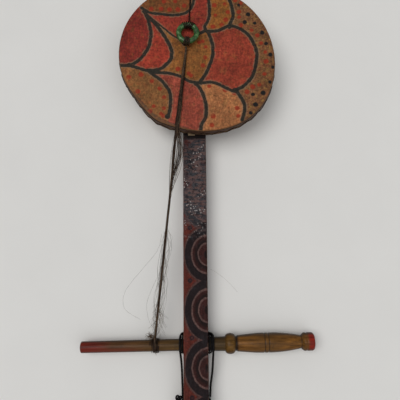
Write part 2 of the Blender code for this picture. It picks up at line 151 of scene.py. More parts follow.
def make_camera():
    sin, cos = math.sin(CAMERA_OFF_NORMAL), math.cos(CAMERA_OFF_NORMAL)
    towards = Vector((0.0, sin, -cos))
    level, level_up = Vector((1.0, 0.0, 0.0)), Vector((0.0, cos, sin))
    right = math.cos(CAMERA_ROLL) * level + math.sin(CAMERA_ROLL) * level_up
    up = math.cos(CAMERA_ROLL) * level_up - math.sin(CAMERA_ROLL) * level
    data = bpy.data.cameras.new("camera")
    data.sensor_width = 36.0
    data.lens = CAMERA_LENS
    data.clip_start = 0.01
    camera = link_object("camera", data)
    turn = Matrix((right, up, -towards)).transposed().to_4x4()
    camera.matrix_world = Matrix.Translation(CAMERA_TARGET - towards * CAMERA_DISTANCE) @ turn
    bpy.context.scene.camera = camera


def add_sun(name, towards, degrees, strength, color=(1.0, 1.0, 1.0)):
    """A soft light from far away, shining from the given direction on everything alike."""
    data = bpy.data.lights.new(name, "SUN")
    data.angle = math.radians(degrees)
    data.energy = strength
    data.color = color
    light = link_object(name, data)
    light.location = Vector(towards)
    light.rotation_euler = (-Vector(towards)).to_track_quat("-Z", "Y").to_euler()


def make_lights():
    """A pale surrounding light, a broad soft sun from the left and a weaker one from the lower right."""
    bpy.context.scene.view_settings.view_transform = "Standard"
    world = bpy.data.worlds.new("world")
    bpy.context.scene.world = world
    world.use_nodes = True
    background = world.node_tree.nodes["Background"]
    background.inputs["Color"].default_value = (0.96, 0.98, 1.0, 1.0)
    background.inputs["Strength"].default_value = 0.295
    add_sun("key_light", (-0.52, 0.06, 1.25), 42.0, 1.36, (1.0, 0.985, 0.97))
    add_sun("fill_light", (0.55, -0.60, 1.2), 60.0, 0.57)


def make_floor():
    """A plain pale floor under the fiddle."""
    bm = bmesh.new()
    bmesh.ops.create_grid(bm, x_segments=8, y_segments=8, size=3.0)
    mesh = mesh_from(bm, "floor")
    look = Look("pale_floor", 0.85, specular=0.2, color=srgb(226, 225, 222))
    look.vary(look.noise(9, 4), 0.985, 1.015)
    mesh.materials.append(look.finish())
    floor = link_object("floor", mesh)
    floor.location.z = -GAP


# Materials


def srgb(red, green, blue):
    """A colour given as 0 to 255 in sRGB, as the linear colour that a shader takes."""
    shares = [value / 255.0 for value in (red, green, blue)]
    return (*(s / 12.92 if s <= 0.04045 else ((s + 0.055) / 1.055) ** 2.4 for s in shares), 1.0)


class Look:
    """A material under construction. Its colour is built up in coats, and its relief in layers of bump."""

    def __init__(self, name, roughness=0.6, coat=0.0, specular=0.5, color=None):
        self.material = bpy.data.materials.new(name)
        self.material.use_nodes = True
        self.tree = self.material.node_tree
        self.shader = self.tree.nodes["Principled BSDF"]
        finish = {"Roughness": roughness, "Specular IOR Level": specular, "Coat Weight": coat}
        self.fill(self.shader, {**finish, "Coat Roughness": 0.12})
        self.place = self.node("ShaderNodeTexCoord", "Object")
        self.color = color
        self.relief = None

    def fill(self, node, inputs):
        """Link a node's inputs, or set their constants."""
        for key, value in inputs.items():
            socket = node.inputs[key]
            if isinstance(value, bpy.types.NodeSocket):
                self.tree.links.new(value, socket)
            else:
                socket.default_value = value[:3] if socket.type == "VECTOR" else value

    def node(self, kind, output, inputs=None, **settings):
        """Add a node, and give back one of its outputs."""
        made = self.tree.nodes.new(kind)
        for key, value in settings.items():
            setattr(made, key, value)
        self.fill(made, inputs or {})
        return made.outputs[output]

    def attribute(self, name, output="Fac"):
        return self.node("ShaderNodeAttribute", output, attribute_name=name)

    def times(self, a, b):
        return self.node("ShaderNodeMath", 0, {0: a, 1: b}, operation="MULTIPLY")

    def plus(self, a, b, clamp=False):
        return self.node("ShaderNodeMath", 0, {0: a, 1: b}, operation="ADD", use_clamp=clamp)

    def linear(self, value, slope, start):
        return self.plus(self.times(value, slope), start)

    def noise(self, scale, detail=3.0, roughness=0.55, distortion=0.0):
        """Noise about 0.5. A scale for each axis stretches it into grain."""
        place = self.place
        if isinstance(scale, tuple):
            place = self.node("ShaderNodeVectorMath", 0, {0: place, 1: scale}, operation="MULTIPLY")
            scale = 1.0
        inputs = {"Vector": place, "Scale": scale, "Detail": detail}
        inputs.update({"Roughness": roughness, "Distortion": distortion})
        return self.node("ShaderNodeTexNoise", "Fac", inputs)

    def cells(self, scale, feature="F1"):
        inputs = {"Vector": self.place, "Scale": scale}
        return self.node("ShaderNodeTexVoronoi", "Distance", inputs, feature=feature)

    def remap(self, value, old, new, kind="LINEAR"):
        inputs = {"Value": value, "From Min": old[0], "From Max": old[1], "To Min": new[0], "To Max": new[1]}
        return self.node("ShaderNodeMapRange", "Result", inputs, interpolation_type=kind)

    def step(self, value, low, high, turned=False):
        """0 at low and 1 at high, smoothly, or the other way round."""
        return self.remap(value, (low, high), (1.0, 0.0) if turned else (0.0, 1.0), "SMOOTHSTEP")

    def patches(self, low, high, *how):
        """1 in soft-edged patches where noise of this scale, detail and roughness is high."""
        return self.step(self.noise(*how), low, high)

    def ramp(self, value, stops, span=1.0):
        """Colours at places from 0 to the span."""
        made = self.tree.nodes.new("ShaderNodeValToRGB")
        band = made.color_ramp
        while len(band.elements) < len(stops):
            band.elements.new(0.5)
        for element, (place, _) in zip(band.elements, stops):
            element.position = place / span
        for element, (_, color) in zip(band.elements, stops):
            element.color = color
        self.fill(made, {"Fac": value if span == 1.0 else self.times(value, 1.0 / span)})
        return made.outputs["Color"]

    def varied(self, color, value, low, high):
        """The colour, darker where value is low and lighter where it is high."""
        amount = self.remap(value, (0.3, 0.7), (low, high))
        return self.node("ShaderNodeVectorMath", 0, {0: color, "Scale": amount}, operation="SCALE")

    def vary(self, value, low, high):
        self.color = self.varied(self.color, value, low, high)

    def lay(self, color, share, amount=1.0):
        """Lay another colour over the one so far."""
        share = share if amount == 1.0 else self.times(share, amount)
        inputs = {"Factor": share, "A": self.color, "B": color}
        self.color = self.node("ShaderNodeMix", "Result", inputs, data_type="RGBA")

    def bump(self, height, distance, strength=1.0):
        """Add relief of this depth in metres over what is there."""
        inputs = {"Strength": strength, "Distance": distance, "Height": height}
        if self.relief is not None:
            inputs["Normal"] = self.relief
        self.relief = self.node("ShaderNodeBump", "Normal", inputs)

    def finish(self, roughness=None):
        inputs = {"Base Color": self.color, "Roughness": roughness, "Normal": self.relief}
        self.fill(self.shader, {key: value for key, value in inputs.items() if value is not None})
        return self.material


def painted_hide_material():
    """Hide painted red, ochre and dark green, with lines and dots laid on by hand."""
    look = Look("painted_hide", specular=0.14)
    waver = look.times(look.plus(look.noise(260), -0.5), 2.4)
    brushed = look.noise(330, 4, 0.7)

    look.color = look.attribute("cell", "Color")
    look.lay(srgb(150, 62, 30), look.patches(0.50, 0.66, 150, 3, 0.6), 0.21)
    look.lay(srgb(104, 92, 40), look.patches(0.52, 0.68, 105, 4, 0.6), 0.17)
    look.vary(look.noise(48, 5, 0.6), 0.72, 1.30)
    look.vary(brushed, 0.54, 1.54)
    look.vary(look.noise((420.0, 120.0, 420.0), 4, 0.65, 0.8), 0.70, 1.34)
    look.lay(srgb(146, 104, 62), look.patches(0.58, 0.72, 210, 6, 0.72), 0.26)
    look.lay(srgb(50, 34, 24), look.patches(0.54, 0.76, 75, 6, 0.7), 0.26)

    band = look.attribute("band")
    look.lay(srgb(146, 112, 58), look.times(look.patches(0.52, 0.64, 240, 4, 0.7), band), 0.75)
    look.lay(srgb(44, 32, 24), look.times(look.patches(0.56, 0.66, 300, 3, 0.7), band), 0.7)

    red_dot = look.step(look.plus(look.attribute("red_dot"), waver), -0.9, 0.9, turned=True)
    faded = look.plus(look.patches(0.30, 0.55, 130, 2), 0.5, clamp=True)
    look.lay(look.varied(srgb(136, 42, 22), brushed, 0.8, 1.3), look.times(red_dot, faded), 0.9)
    black_dot = look.plus(look.attribute("black_dot"), waver)
    look.lay(srgb(26, 24, 23), look.step(black_dot, -0.8, 0.7, turned=True))

    line = look.plus(look.attribute("line"), waver)
    halo = look.times(look.step(line, 0.3, 2.0, turned=True), look.patches(0.36, 0.56, 110))
    look.lay(srgb(134, 106, 82), halo, 0.66)
    stroke = look.step(line, -0.8, 0.5, turned=True)
    thin = look.linear(look.patches(0.28, 0.46, 240, 4, 0.7), 0.22, 0.76)
    look.lay(look.varied(srgb(34, 34, 28), brushed, 0.5, 1.6), look.times(stroke, thin))

    # The side, by millimetres below the face: rubbed edge, dark seam, hide, dark seam, hide, dark hem
    drop = look.plus(look.attribute("drop"), look.times(waver, 0.28))
    side = [(0.66, srgb(112, 78, 50)), (1.80, srgb(96, 68, 46)), (2.28, srgb(24, 16, 12))]
    side += [(2.88, srgb(24, 16, 12)), (3.36, srgb(84, 58, 42)), (5.64, srgb(98, 66, 48))]
    side += [(6.12, srgb(26, 17, 13)), (6.84, srgb(30, 20, 15)), (7.44, srgb(78, 52, 38))]
    side += [(10.32, srgb(66, 42, 31)), (10.80, srgb(20, 13, 10))]
    side_color = look.varied(look.ramp(drop, side, 12.0), brushed, 0.7, 1.3)
    look.lay(side_color, look.step(drop, 0.45, 0.85))
    # Painted shade along the line where the hide creases over the wide shoulder
    look.lay(srgb(30, 22, 17), look.attribute("crease"), 0.8)
    fleck = look.step(look.cells(520), 0.02, 0.20, turned=True)
    look.lay(srgb(168, 134, 100), look.times(fleck, look.patches(0.48, 0.60, 55, 2)), 0.34)

    look.bump(look.cells(900, "SMOOTH_F1"), 0.00018, 0.6)
    look.bump(look.noise(160, 6, 0.6), 0.0005, 0.6)
    look.bump(stroke, 0.00012, 0.5)
    return look.finish(look.linear(brushed, 0.30, 0.40))


def plain_hide_material():
    """Brown hide with blotches and rubbed folds, with painted shade in its creases, on its hem and over its
    inner side.
    """
    look = Look("plain_hide", specular=0.16)
    fine = look.noise(320, 5, 0.65)
    browns = [(0.30, srgb(64, 45, 31)), (0.48, srgb(104, 78, 55)), (0.62, srgb(128, 98, 70))]
    look.color = look.ramp(look.noise(38, 5, 0.6), [*browns, (0.8, srgb(90, 62, 42))])
    look.vary(fine, 0.78, 1.2)
    look.lay(srgb(66, 34, 24), look.patches(0.55, 0.72, 90, 6, 0.7), 0.5)
    # Painted shade in the creases, on the hem and over the hide's inner side
    look.lay(srgb(24, 18, 14), look.attribute("fold"), 0.85)
    look.bump(look.noise((900.0, 900.0, 108.0), 2, 0.5), 0.00012, 0.5)
    look.bump(look.cells(800, "SMOOTH_F1"), 0.00022, 0.6)
    look.bump(look.noise(120, 6, 0.6), 0.0007, 0.6)
    return look.finish(look.linear(fine, 0.3, 0.45))


def bare_wood_material(name, dark, light, grain):
    """Wood with grain along one axis; grain is the scale on each axis."""
    look = Look(name, 0.7, specular=0.3)
    pores = look.noise(tuple(4.0 * scale for scale in grain), 3, 0.7)
    look.color = look.ramp(look.noise(grain, 5, 0.62, 0.6), [(0.30, dark), (0.52, light), (0.70, dark)])
    look.vary(pores, 0.78, 1.15)
    look.bump(pores, 0.00025, 0.5)
    return look.finish()


def painted_neck_material():
    """Dark arches on a red-brown ground, rubbed to a dirty grey towards the body."""
    look = Look("painted_neck", specular=0.08)
    streak = look.noise((320.0, 26.0, 320.0), 5, 0.65)
    fine = look.noise(520, 4, 0.7)
    blot = look.noise(120, 5, 0.7)

    # An arch from its middle out: dark core, red, pale line, red, pale line, broad dark band, pale edge
    core, red, deep = srgb(22, 11, 11), srgb(50, 23, 21), srgb(30, 14, 13)
    pale, dark, ground = srgb(84, 62, 58), srgb(26, 17, 19), srgb(80, 32, 24)
    stops = [(0.0, core), (0.12, core), (0.17, red), (0.35, red), (0.375, pale), (0.415, pale)]
    stops += [(0.435, core), (0.51, deep), (0.63, red), (0.655, pale), (0.70, pale), (0.72, dark)]
    stops += [(0.965, dark), (0.99, srgb(74, 50, 46)), (1.03, srgb(70, 46, 42)), (1.06, ground)]
    waver = look.times(look.plus(look.noise(230), -0.5), 0.055)
    look.color = look.ramp(look.plus(look.attribute("arch"), waver), stops, ARCH_FAR)

    spot = look.plus(look.attribute("rosette"), look.times(waver, 14.0))
    stops = [(0.6, srgb(84, 48, 42)), (1.1, srgb(38, 22, 24)), (3.0, srgb(44, 25, 27)), (3.7, ground)]
    look.lay(look.ramp(spot, stops, 10.0), look.step(spot, 3.0, 3.8, turned=True))
    look.vary(streak, 0.66, 1.36)
    look.vary(fine, 0.52, 1.56)

    worn = look.attribute("worn")
    dirt = look.step(look.plus(look.noise(105, 6, 0.75), look.times(worn, 0.16)), 0.50, 0.66)
    dirt = look.times(dirt, look.linear(worn, 0.62, 0.12))
    look.lay(look.varied(srgb(62, 64, 68), fine, 0.6, 1.4), dirt)
    hatch = look.plus(look.noise((110.0, 330.0, 200.0), 3, 0.6), look.times(worn, 0.08))
    look.lay(srgb(110, 82, 76), look.times(look.step(hatch, 0.55, 0.66), worn), 0.6)
    look.lay(srgb(20, 19, 24), look.times(look.patches(0.54, 0.62, 270, 4, 0.7), worn), 0.75)
    fleck = look.plus(look.cells(330), look.times(look.noise(900, 3, 0.7), 0.7))
    fleck = look.times(look.step(fleck, 0.50, 0.70, turned=True), look.patches(0.50, 0.58, 48))
    look.lay(srgb(176, 168, 164), look.times(fleck, worn), 0.95)
    look.lay(srgb(14, 11, 11), look.attribute("slot_shade"))

    rubbed = look.step(look.plus(blot, look.times(fine, 0.3)), 0.56, 0.76)
    look.lay(srgb(112, 84, 68), look.times(look.attribute("corner"), rubbed), 0.75)

    look.bump(streak, 0.0003, 0.45)
    look.bump(blot, 0.0007, 0.55)
    look.bump(fine, 0.00025, 0.5)
    return look.finish(look.linear(blot, 0.35, 0.32))


def peg_material():
    """Varnished turned wood: red paint at both ends, an ochre rod and an amber handle."""
    look = Look("peg_varnish", coat=0.05, specular=0.12)
    along = look.attribute("along")
    grain = look.noise((26.0, 420.0, 420.0), 5, 0.6, 0.3)
    blot = look.noise(95, 4, 0.6)
    shift = look.times(look.plus(blot, -0.5), 0.05)
    ragged = look.times(shift, look.step(along, -120.0, -60.0, turned=True))
    zone = look.plus(look.linear(along, 1 / 320.0, 0.5), ragged)
    olive, collar, amber = srgb(64, 48, 27), srgb(92, 64, 26), srgb(108, 70, 27)
    stops = [(0.0, srgb(104, 30, 22)), (0.09, srgb(98, 34, 24)), (0.165, srgb(80, 51, 28))]
    stops += [(0.40, srgb(80, 58, 30)), (0.52, olive), (0.615, olive), (0.628, collar), (0.655, collar)]
    stops += [(0.665, srgb(40, 26, 14)), (0.676, amber), (0.80, srgb(92, 62, 28)), (0.90, amber)]
    stops += [(0.94, srgb(94, 62, 24)), (0.954, srgb(98, 60, 26)), (0.962, srgb(118, 32, 22))]
    look.color = look.ramp(zone, stops)
    look.vary(grain, 0.48, 1.60)
    look.vary(look.noise((90.0, 1500.0, 1500.0), 4, 0.7), 0.88, 1.12)
    under = look.times(look.attribute("under"), look.step(along, -98.0, -60.0, turned=True))
    look.lay(srgb(104, 42, 32), under, 0.75)
    look.lay(srgb(44, 34, 24), look.patches(0.54, 0.70, 150, 6, 0.75), 0.42)
    # Painted shade: darker towards the peg's edges as seen from above, as a frontal light leaves them
    look.lay(srgb(34, 24, 14), look.attribute("side"), 0.72)
    look.lay(srgb(26, 18, 12), look.attribute("cut"), 0.9)
    look.bump(grain, 0.0003, 0.35)
    look.bump(blot, 0.0005, 0.3)
    return look.finish(look.linear(blot, 0.3, 0.24))


def ring_material():
    """Green, half glossy, paler where it is rubbed."""
    look = Look("green_ring", 0.3, coat=0.15, specular=0.35)
    cloudy = look.noise(210, 4, 0.6)
    greens = [(0.30, srgb(20, 44, 18)), (0.50, srgb(44, 82, 36)), (0.68, srgb(98, 136, 82))]
    look.color = look.ramp(cloudy, greens)
    dirt = look.patches(0.54, 0.68, 420, 5, 0.7)
    look.lay(srgb(30, 38, 18), dirt, 0.6)
    look.bump(cloudy, 0.0006, 0.5)
    return look.finish(look.linear(dirt, 0.3, 0.26))


def fibre_material(name, dark, light, roughness, scale=300.0):
    """Twine or hair: fine changes of colour along and across the strands."""
    look = Look(name, roughness, specular=0.1)
    fuzz = look.noise(scale * 7, 3, 0.7)
    look.color = look.ramp(look.noise(scale, 4, 0.7), [(0.34, dark), (0.66, light)])
    look.vary(fuzz, 0.72, 1.3)
    look.bump(fuzz, 0.0001, 0.6)
    return look.finish()


# Mesh helpers


def add_object(name, mesh, material, body, slot, *replaced):
    """Link a mesh or curve as a piece: its material, body and the CAD nodes it stands for; the record slot is
    not used.
    """
    obj = link_object(name, mesh)
    mesh.materials.append(material)
    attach(obj, body)
    if replaced:
        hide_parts(*replaced)
    return obj


def mesh_from(bm, name):
    mesh = bpy.data.meshes.new(name)
    bm.to_mesh(mesh)
    bm.free()
    return mesh


def lofted_mesh(name, rings, start=None, end=None, closed=False):
    """Quads between rings of points, with a point or a flat cap at either end, or closed into a loop."""
    count = len(rings[0])
    verts = [tuple(v) for v in np.concatenate(rings)]
    faces = []
    for k in range(len(rings) if closed else len(rings) - 1):
        a, b = k * count, (k + 1) % len(rings) * count
        for i in range(count):
            j = (i + 1) % count
            faces.append((a + i, a + j, b + j, b + i))
    for pole, ring, flip in () if closed else ((start, 0, True), (end, len(rings) - 1, False)):
        base = ring * count
        if pole is None:
            loop = list(range(base, base + count))
            faces.append(loop[::-1] if flip else loop)
            continue
        verts.append(tuple(pole))
        tip = len(verts) - 1
        for i in range(count):
            j = (i + 1) % count
            faces.append((tip, base + j, base + i) if flip else (tip, base + i, base + j))
    mesh = bpy.data.meshes.new(name)
    mesh.from_pydata(verts, [], faces)
    bm = bmesh.new()
    bm.from_mesh(mesh)
    bmesh.ops.recalc_face_normals(bm, faces=bm.faces[:])
    bm.to_mesh(mesh)
    bm.free()
    mesh.shade_smooth()
    return mesh


def points_of(mesh):
    """A mesh's points as rows of x, y and z."""
    flat = np.zeros(len(mesh.vertices) * 3)
    mesh.vertices.foreach_get("co", flat)
    return flat.reshape(-1, 3)


def store(mesh, **layers):
    """Store numbers or colours for the points, by name."""
    for name, values in layers.items():
        values = np.asarray(values, dtype=np.float32)
        kind, key = ("FLOAT_COLOR", "color") if values.ndim == 2 else ("FLOAT", "value")
        mesh.attributes.new(name, kind, "POINT").data.foreach_set(key, values.ravel())


def full_turn(count):
    """Angles spread evenly round a circle."""
    return np.linspace(0, 2 * math.pi, count, endpoint=False)


def quarter_turn(share):
    """The sine and cosine of a share of a right angle."""
    return math.sin(math.pi / 2 * share), math.cos(math.pi / 2 * share)


def mm(*points):
    """Points given in millimetres, in metres."""
    return [tuple(value * MM for value in point) for point in points]


def scatter(rng, *ranges):
    """A random vector, from a range for each axis."""
    return Vector([rng.uniform(low, high) for low, high in ranges])


def smooth_path(points, between, closed=False):
    """Points on one smooth curve through the given points."""
    points = [Vector(p) for p in points]
    last = len(points) if closed else len(points) - 1
    path = []
    for i in range(last):
        around = [i + k for k in (-1, 0, 1, 2)]
        if closed:
            a, b, c, d = (points[k % len(points)] for k in around)
        else:
            a, b, c, d = (points[min(max(k, 0), last)] for k in around)
        for k in range(between):
            t = k / between
            bend = (2 * a - 5 * b + 4 * c - d) * t * t + (3 * b - a - 3 * c + d) * t**3
            path.append(0.5 * (2 * b + (c - a) * t + bend))
    if not closed:
        path.append(points[-1])
    return path


def evenly(path, spacing):
    """The same path with points a fixed spacing apart."""
    points = np.array([tuple(p) for p in path])
    steps = np.linalg.norm(np.diff(points, axis=0), axis=1)
    far = np.concatenate([[0.0], np.cumsum(steps)])
    places = np.linspace(0.0, far[-1], max(3, int(far[-1] / spacing)))
    return np.stack([np.interp(places, far, points[:, k]) for k in range(3)], axis=1)


def frames_along(points):
    """Two directions across the path at each point, which turn as little as possible along it."""
    ahead = np.gradient(points, axis=0)
    ahead /= np.linalg.norm(ahead, axis=1)[:, None]
    first = np.cross(ahead[0], (0.31, 0.17, 0.93))
    sides = [first / np.linalg.norm(first)]
    for direction in ahead[1:]:
        side = sides[-1] - direction * (sides[-1] @ direction)
        sides.append(side / np.linalg.norm(side))
    sides = np.array(sides)
    return sides, np.cross(ahead, sides)


def new_curve(name, radius, sides=0):
    curve = bpy.data.curves.new(name, "CURVE")
    curve.dimensions = "3D"
    curve.bevel_depth = radius
    curve.bevel_resolution = sides
    curve.use_fill_caps = True
    return curve


def add_strand(curve, points, thickness=1.0, thin_to=1.0, closed=False):
    """One strand of a curve object; thickness is a share of the curve's bevel."""
    count = len(points)
    spline = curve.splines.new("POLY")
    spline.points.add(count - 1)
    spline.use_cyclic_u = closed
    spline.points.foreach_set("co", np.column_stack([points, np.ones(count)]).ravel())
    spline.points.foreach_set("radius", thickness * np.linspace(1.0, thin_to, count))


def laid_cord(name, path, radius, pitch, plies=3, closed=False, into=None):
    """A cord of twisted plies along a path, as a new curve or added to one."""
    points = evenly(path, pitch / 10)
    if closed:
        points = points[:-1]
    side, other = frames_along(points)
    length = np.linalg.norm(np.diff(points, axis=0), axis=1).sum()
    turns = round(length / pitch) if closed else length / pitch
    curve = into or new_curve(name, radius * 0.56, 1)
    for ply in range(plies):
        angle = 2 * math.pi * (turns * np.linspace(0, 1, len(points)) + ply / plies)
        out = side * np.cos(angle)[:, None] + other * np.sin(angle)[:, None]
        add_strand(curve, points + out * radius * 0.5, closed=closed)
    return curve


def fuzz_on(curve, path, radius, count, reach, thickness, rng):
    """Short stray fibres that stand off a cord."""
    points = evenly(path, 0.0012)
    side, other = frames_along(points)
    for _ in range(count):
        start = rng.randrange(0, len(points) - 4)
        run = min(len(points) - start, rng.randrange(4, 9))
        angle = rng.uniform(0, 2 * math.pi)
        way = side[start] * math.cos(angle) + other[start] * math.sin(angle)
        lift = radius + rng.uniform(0.3, 1.0) * reach * np.linspace(0, 1, run) ** 1.6
        add_strand(curve, points[start : start + run] + way * lift[:, None], thickness, 0.4)


def cut_away(obj, cutter_mesh, place=None):
    """Take a shape out of a piece, for good."""
    cutter = link_object("cutter", cutter_mesh)
    if place is not None:
        cutter.matrix_world = place
    step = obj.modifiers.new("cut", "BOOLEAN")
    step.operation = "DIFFERENCE"
    step.solver = "EXACT"
    step.object = cutter
    bpy.context.view_layer.update()
    shown = obj.evaluated_get(bpy.context.evaluated_depsgraph_get())
    made = bpy.data.meshes.new_from_object(shown)
    obj.modifiers.clear()
    obj.data = made
    bpy.data.objects.remove(cutter)


def cut_box(obj, low, high):
    """Cut a block between two corners out of a piece."""
    bm = bmesh.new()
    bmesh.ops.create_cube(bm, size=1.0)
    low, high = Vector(low), Vector(high)
    bmesh.ops.scale(bm, vec=high - low, verts=bm.verts)
    bmesh.ops.translate(bm, vec=(low + high) / 2, verts=bm.verts)
    cut_away(obj, mesh_from(bm, "cutter"))


def bumps(points, scale, seed):
    """Smooth noise at each point, from -1 to 1."""
    return np.array([noise.noise(Vector((x * scale, y * scale, z * scale + seed))) for x, y, z in points])


def bell(value, middle, width):
    """1 at the middle, falling smoothly to 0 away from it."""
    return np.exp(-(((value - middle) / width) ** 2))


# Body outline


def swell(angle, feature):
    """How far one feature of the outline moves the edge at these angles."""
    height, middle, width = feature
    return height * bell((angle - middle + math.pi) % (2 * math.pi) - math.pi, 0.0, width)


def outline(angle):
    """The body's largest radius at these angles."""
    oval = OVAL * np.cos(2 * (angle - OVAL_AT))
    return BODY_RADIUS + oval + sum(swell(angle, feature) for feature in (BULGE, CORNER, FLAT))


def shoulder(angle):
    """How far in the flat front starts."""
    return SHOULDER + swell(angle, WIDE_SHOULDER)


def lean(z):
    """How far the side has leaned in at this height."""
    return WALL_TAPER * (max(WALL_FULL_Z - z, 0.0) / WALL_FULL_Z) ** WALL_CURVE


def ring_at(angles, inset, z, share=1.0):
    """A ring of points this far inside the outline, at a share of the way out from the middle."""
    reach = (outline(angles) - inset) * share
    return np.column_stack([reach * np.cos(angles), reach * np.sin(angles), np.broadcast_to(z, angles.shape)])


# Painted design of the front hide, in millimetres from the body's middle: x to the handle's side, y away from
# the neck. Each stroke has its half width and the points it runs through.
STROKES = {
    "top_arch": (2.2, [
        (-78, 74), (-66, 66), (-51, 64), (-37, 62), (-23, 63), (-14, 66), (-7, 73), (-3, 86), (2, 99),
        (10, 116),
    ]),
    "left_petal": (2.6, [
        (-74, 68), (-68, 54), (-64, 34), (-65, 22), (-68, 11), (-79, -6), (-94, -15), (-112, -14),
    ]),
    "second_petal": (2.7, [
        (-73, 66), (-58, 48), (-46, 31), (-36, 11), (-35, 1), (-37, -8), (-51, -21), (-70, -23),
    ]),
    "thin_leaf": (1.4, [(-73, 66), (-51, 46), (-34, 31), (-24, 24), (-17, 15)]),
    "waist": (2.4, [
        (-94, -15), (-76, -21), (-58, -26), (-40, -27), (-23, -32), (-9, -40), (7, -42), (18, -41), (29, -44),
        (48, -54), (55, -56),
    ]),
    "lower_left": (2.5, [
        (-67, -24), (-58, -31), (-49, -38), (-42, -47), (-37, -56), (-36, -70), (-37, -81), (-39, -91),
    ]),
    "middle": (2.6, [(5, 33), (15, 36), (22, 18), (23, 7), (22, -4), (14, -26), (4, -41)]),
    "upper_left": (2.4, [(15, 36), (12, 43), (17, 54), (19, 66), (18, 85), (12, 114)]),
    "big_cell": (2.6, [
        (15, 36), (31, 37), (46, 44), (59, 41), (74, 29), (83, 9), (84, -6), (78, -31), (64, -48), (51, -53),
    ]),
    "upper_arch": (2.6, [(46, 44), (52, 57), (52, 68), (48, 85), (38, 108)]),
    "lower_middle": (2.6, [(-2, -43), (6, -53), (12, -72), (12, -92), (7, -101), (5, -110)]),
    "lower_right": (2.6, [(55, -55), (64, -72), (65, -83), (61, -97)]),
}
# Thick spots where strokes meet or end: x, y and radius
BLOBS = [(-94, -15, 3.6), (-74, 68, 3.4), (-40, -91, 4.0), (54, -54, 4.0), (47, 43, 3.6), (6, -42, 3.0)]

RED_DOTS = [
    (-64, 72), (-50, 72), (-38, 71), (-26, 71), (-17, 77), (26, 77), (41, 79), (45, 66), (42, 54), (36, 46),
    (24, 43), (27, 61), (-11, -28), (-8, -31), (9, -16), (12, -4), (13, 12), (9, 21), (4, 19), (-26, -21),
    (61, 66), (61, 58), (63, 45), (78, 37), (86, 29), (91, 17), (96, 3), (97, -11), (94, -30), (86, -46),
    (77, -49), (69, -56), (17, -47), (39, -53), (52, -58), (55, -80), (56, -91), (22, -91), (20, -104),
    (-94, -33), (-77, -29), (-62, -39), (-51, -50), (-45, -63), (-45, -79), (-49, -87), (-46, -90),
    (-81, -54), (-59, -76), (-64, -83), (56, 84), (64, 80), (50, 94), (30, 92), (-30, 84), (-12, 92),
    (-46, 84), (-4, 102), (26, 104),
]
BLACK_DOTS = [
    (61, 77), (74, 62), (69, 50), (83, 48), (93, 33), (98, 16), (103, -1), (106, -20), (101, -42), (77, -60),
    (91, -58), (73, -87), (66, 88), (52, 99), (80, -75),
]
DOT_RADII = {"red_dot": 3.1, "black_dot": 3.0}

# What the paint is in each field: the strokes round it, in order, with the ones taken backwards marked, and
# any corners past the body's edge
PAINT_BASE = srgb(108, 70, 44)
HEM_BROWN = srgb(84, 64, 48)
FIELDS = [
    (srgb(103, 61, 30), [("top_arch", 1), ((10, 130), (-80, 130), (-110, 90))]),
    (srgb(130, 80, 34), [("upper_left", 1), ((20, 130), (40, 125)), ("upper_arch", -1)]),
    (srgb(124, 78, 36), [
        ("second_petal", -1), ("thin_leaf", 1), ("middle", 1), ((-2, -43), (-9, -40), (-40, -27)),
    ]),
    (srgb(122, 80, 44), [("lower_left", 1), ((-44, -130), (-130, -60), (-120, -14), (-94, -15))]),
    (srgb(152, 98, 60), [
        ("lower_right", 1), ((60, -125), (5, -125)), ("lower_middle", -1), ((18, -41), (29, -44), (48, -54)),
    ]),
    (srgb(112, 37, 29), [("left_petal", 1), ((-130, 0), (-125, 60), (-84, 82))]),
    (srgb(142, 51, 36), [("left_petal", 1), ((-94, -15), (-70, -23)), ("second_petal", -1)]),
    (srgb(128, 46, 34), [("top_arch", 1), ((14, 122),), ("upper_left", -1), ((5, 33),), ("thin_leaf", -1)]),
    (srgb(132, 52, 36), [("big_cell", 1), ((48, -54), (29, -44), (18, -41)), ("middle", -1)]),
    (srgb(136, 62, 47), [
        ("lower_left", 1), ((-38, -125), (5, -125)), ("lower_middle", -1),
        ((-9, -40), (-23, -32), (-40, -27)),
    ]),
]


def stroke_line(name):
    """A stroke's smooth line as rows of x and y in millimetres."""
    return np.array([tuple(p)[:2] for p in smooth_path([(x, y, 0.0) for x, y in STROKES[name][1]], 6)])


def distance_to(points, line):
    """How far each point is from a line of short pieces."""
    nearest = np.full(len(points), 1e9)
    for a, b in zip(line[:-1], line[1:]):
        along = b - a
        share = np.clip(((points - a) @ along) / (along @ along), 0.0, 1.0)
        gap = points - a - share[:, None] * along
        nearest = np.minimum(nearest, np.hypot(gap[:, 0], gap[:, 1]))
    return nearest


def within(points, corners):
    """Which points are inside a closed outline."""
    inside = np.zeros(len(points), bool)
    x, y = points[:, 0], points[:, 1]
    for (ax, ay), (bx, by) in zip(corners, np.roll(corners, -1, axis=0)):
        if ay != by:
            crosses = (ay > y) != (by > y)
            inside ^= crosses & (x < (bx - ax) * (y - ay) / (by - ay) + ax)
    return inside


def field_outline(steps):
    """A field's closed outline from its strokes and corners."""
    rows = []
    for step in steps:
        if isinstance(step[0], str):
            rows.append(stroke_line(step[0])[:: step[1]])
        else:
            rows.append(np.array(step, float))
    return np.concatenate(rows)


def distance_to_spots(flat, spots):
    """How far each point is outside the nearest round spot; a spot is x, y and a radius."""
    return np.min([np.hypot(flat[:, 0] - x, flat[:, 1] - y) - radius for x, y, radius in spots], axis=0)


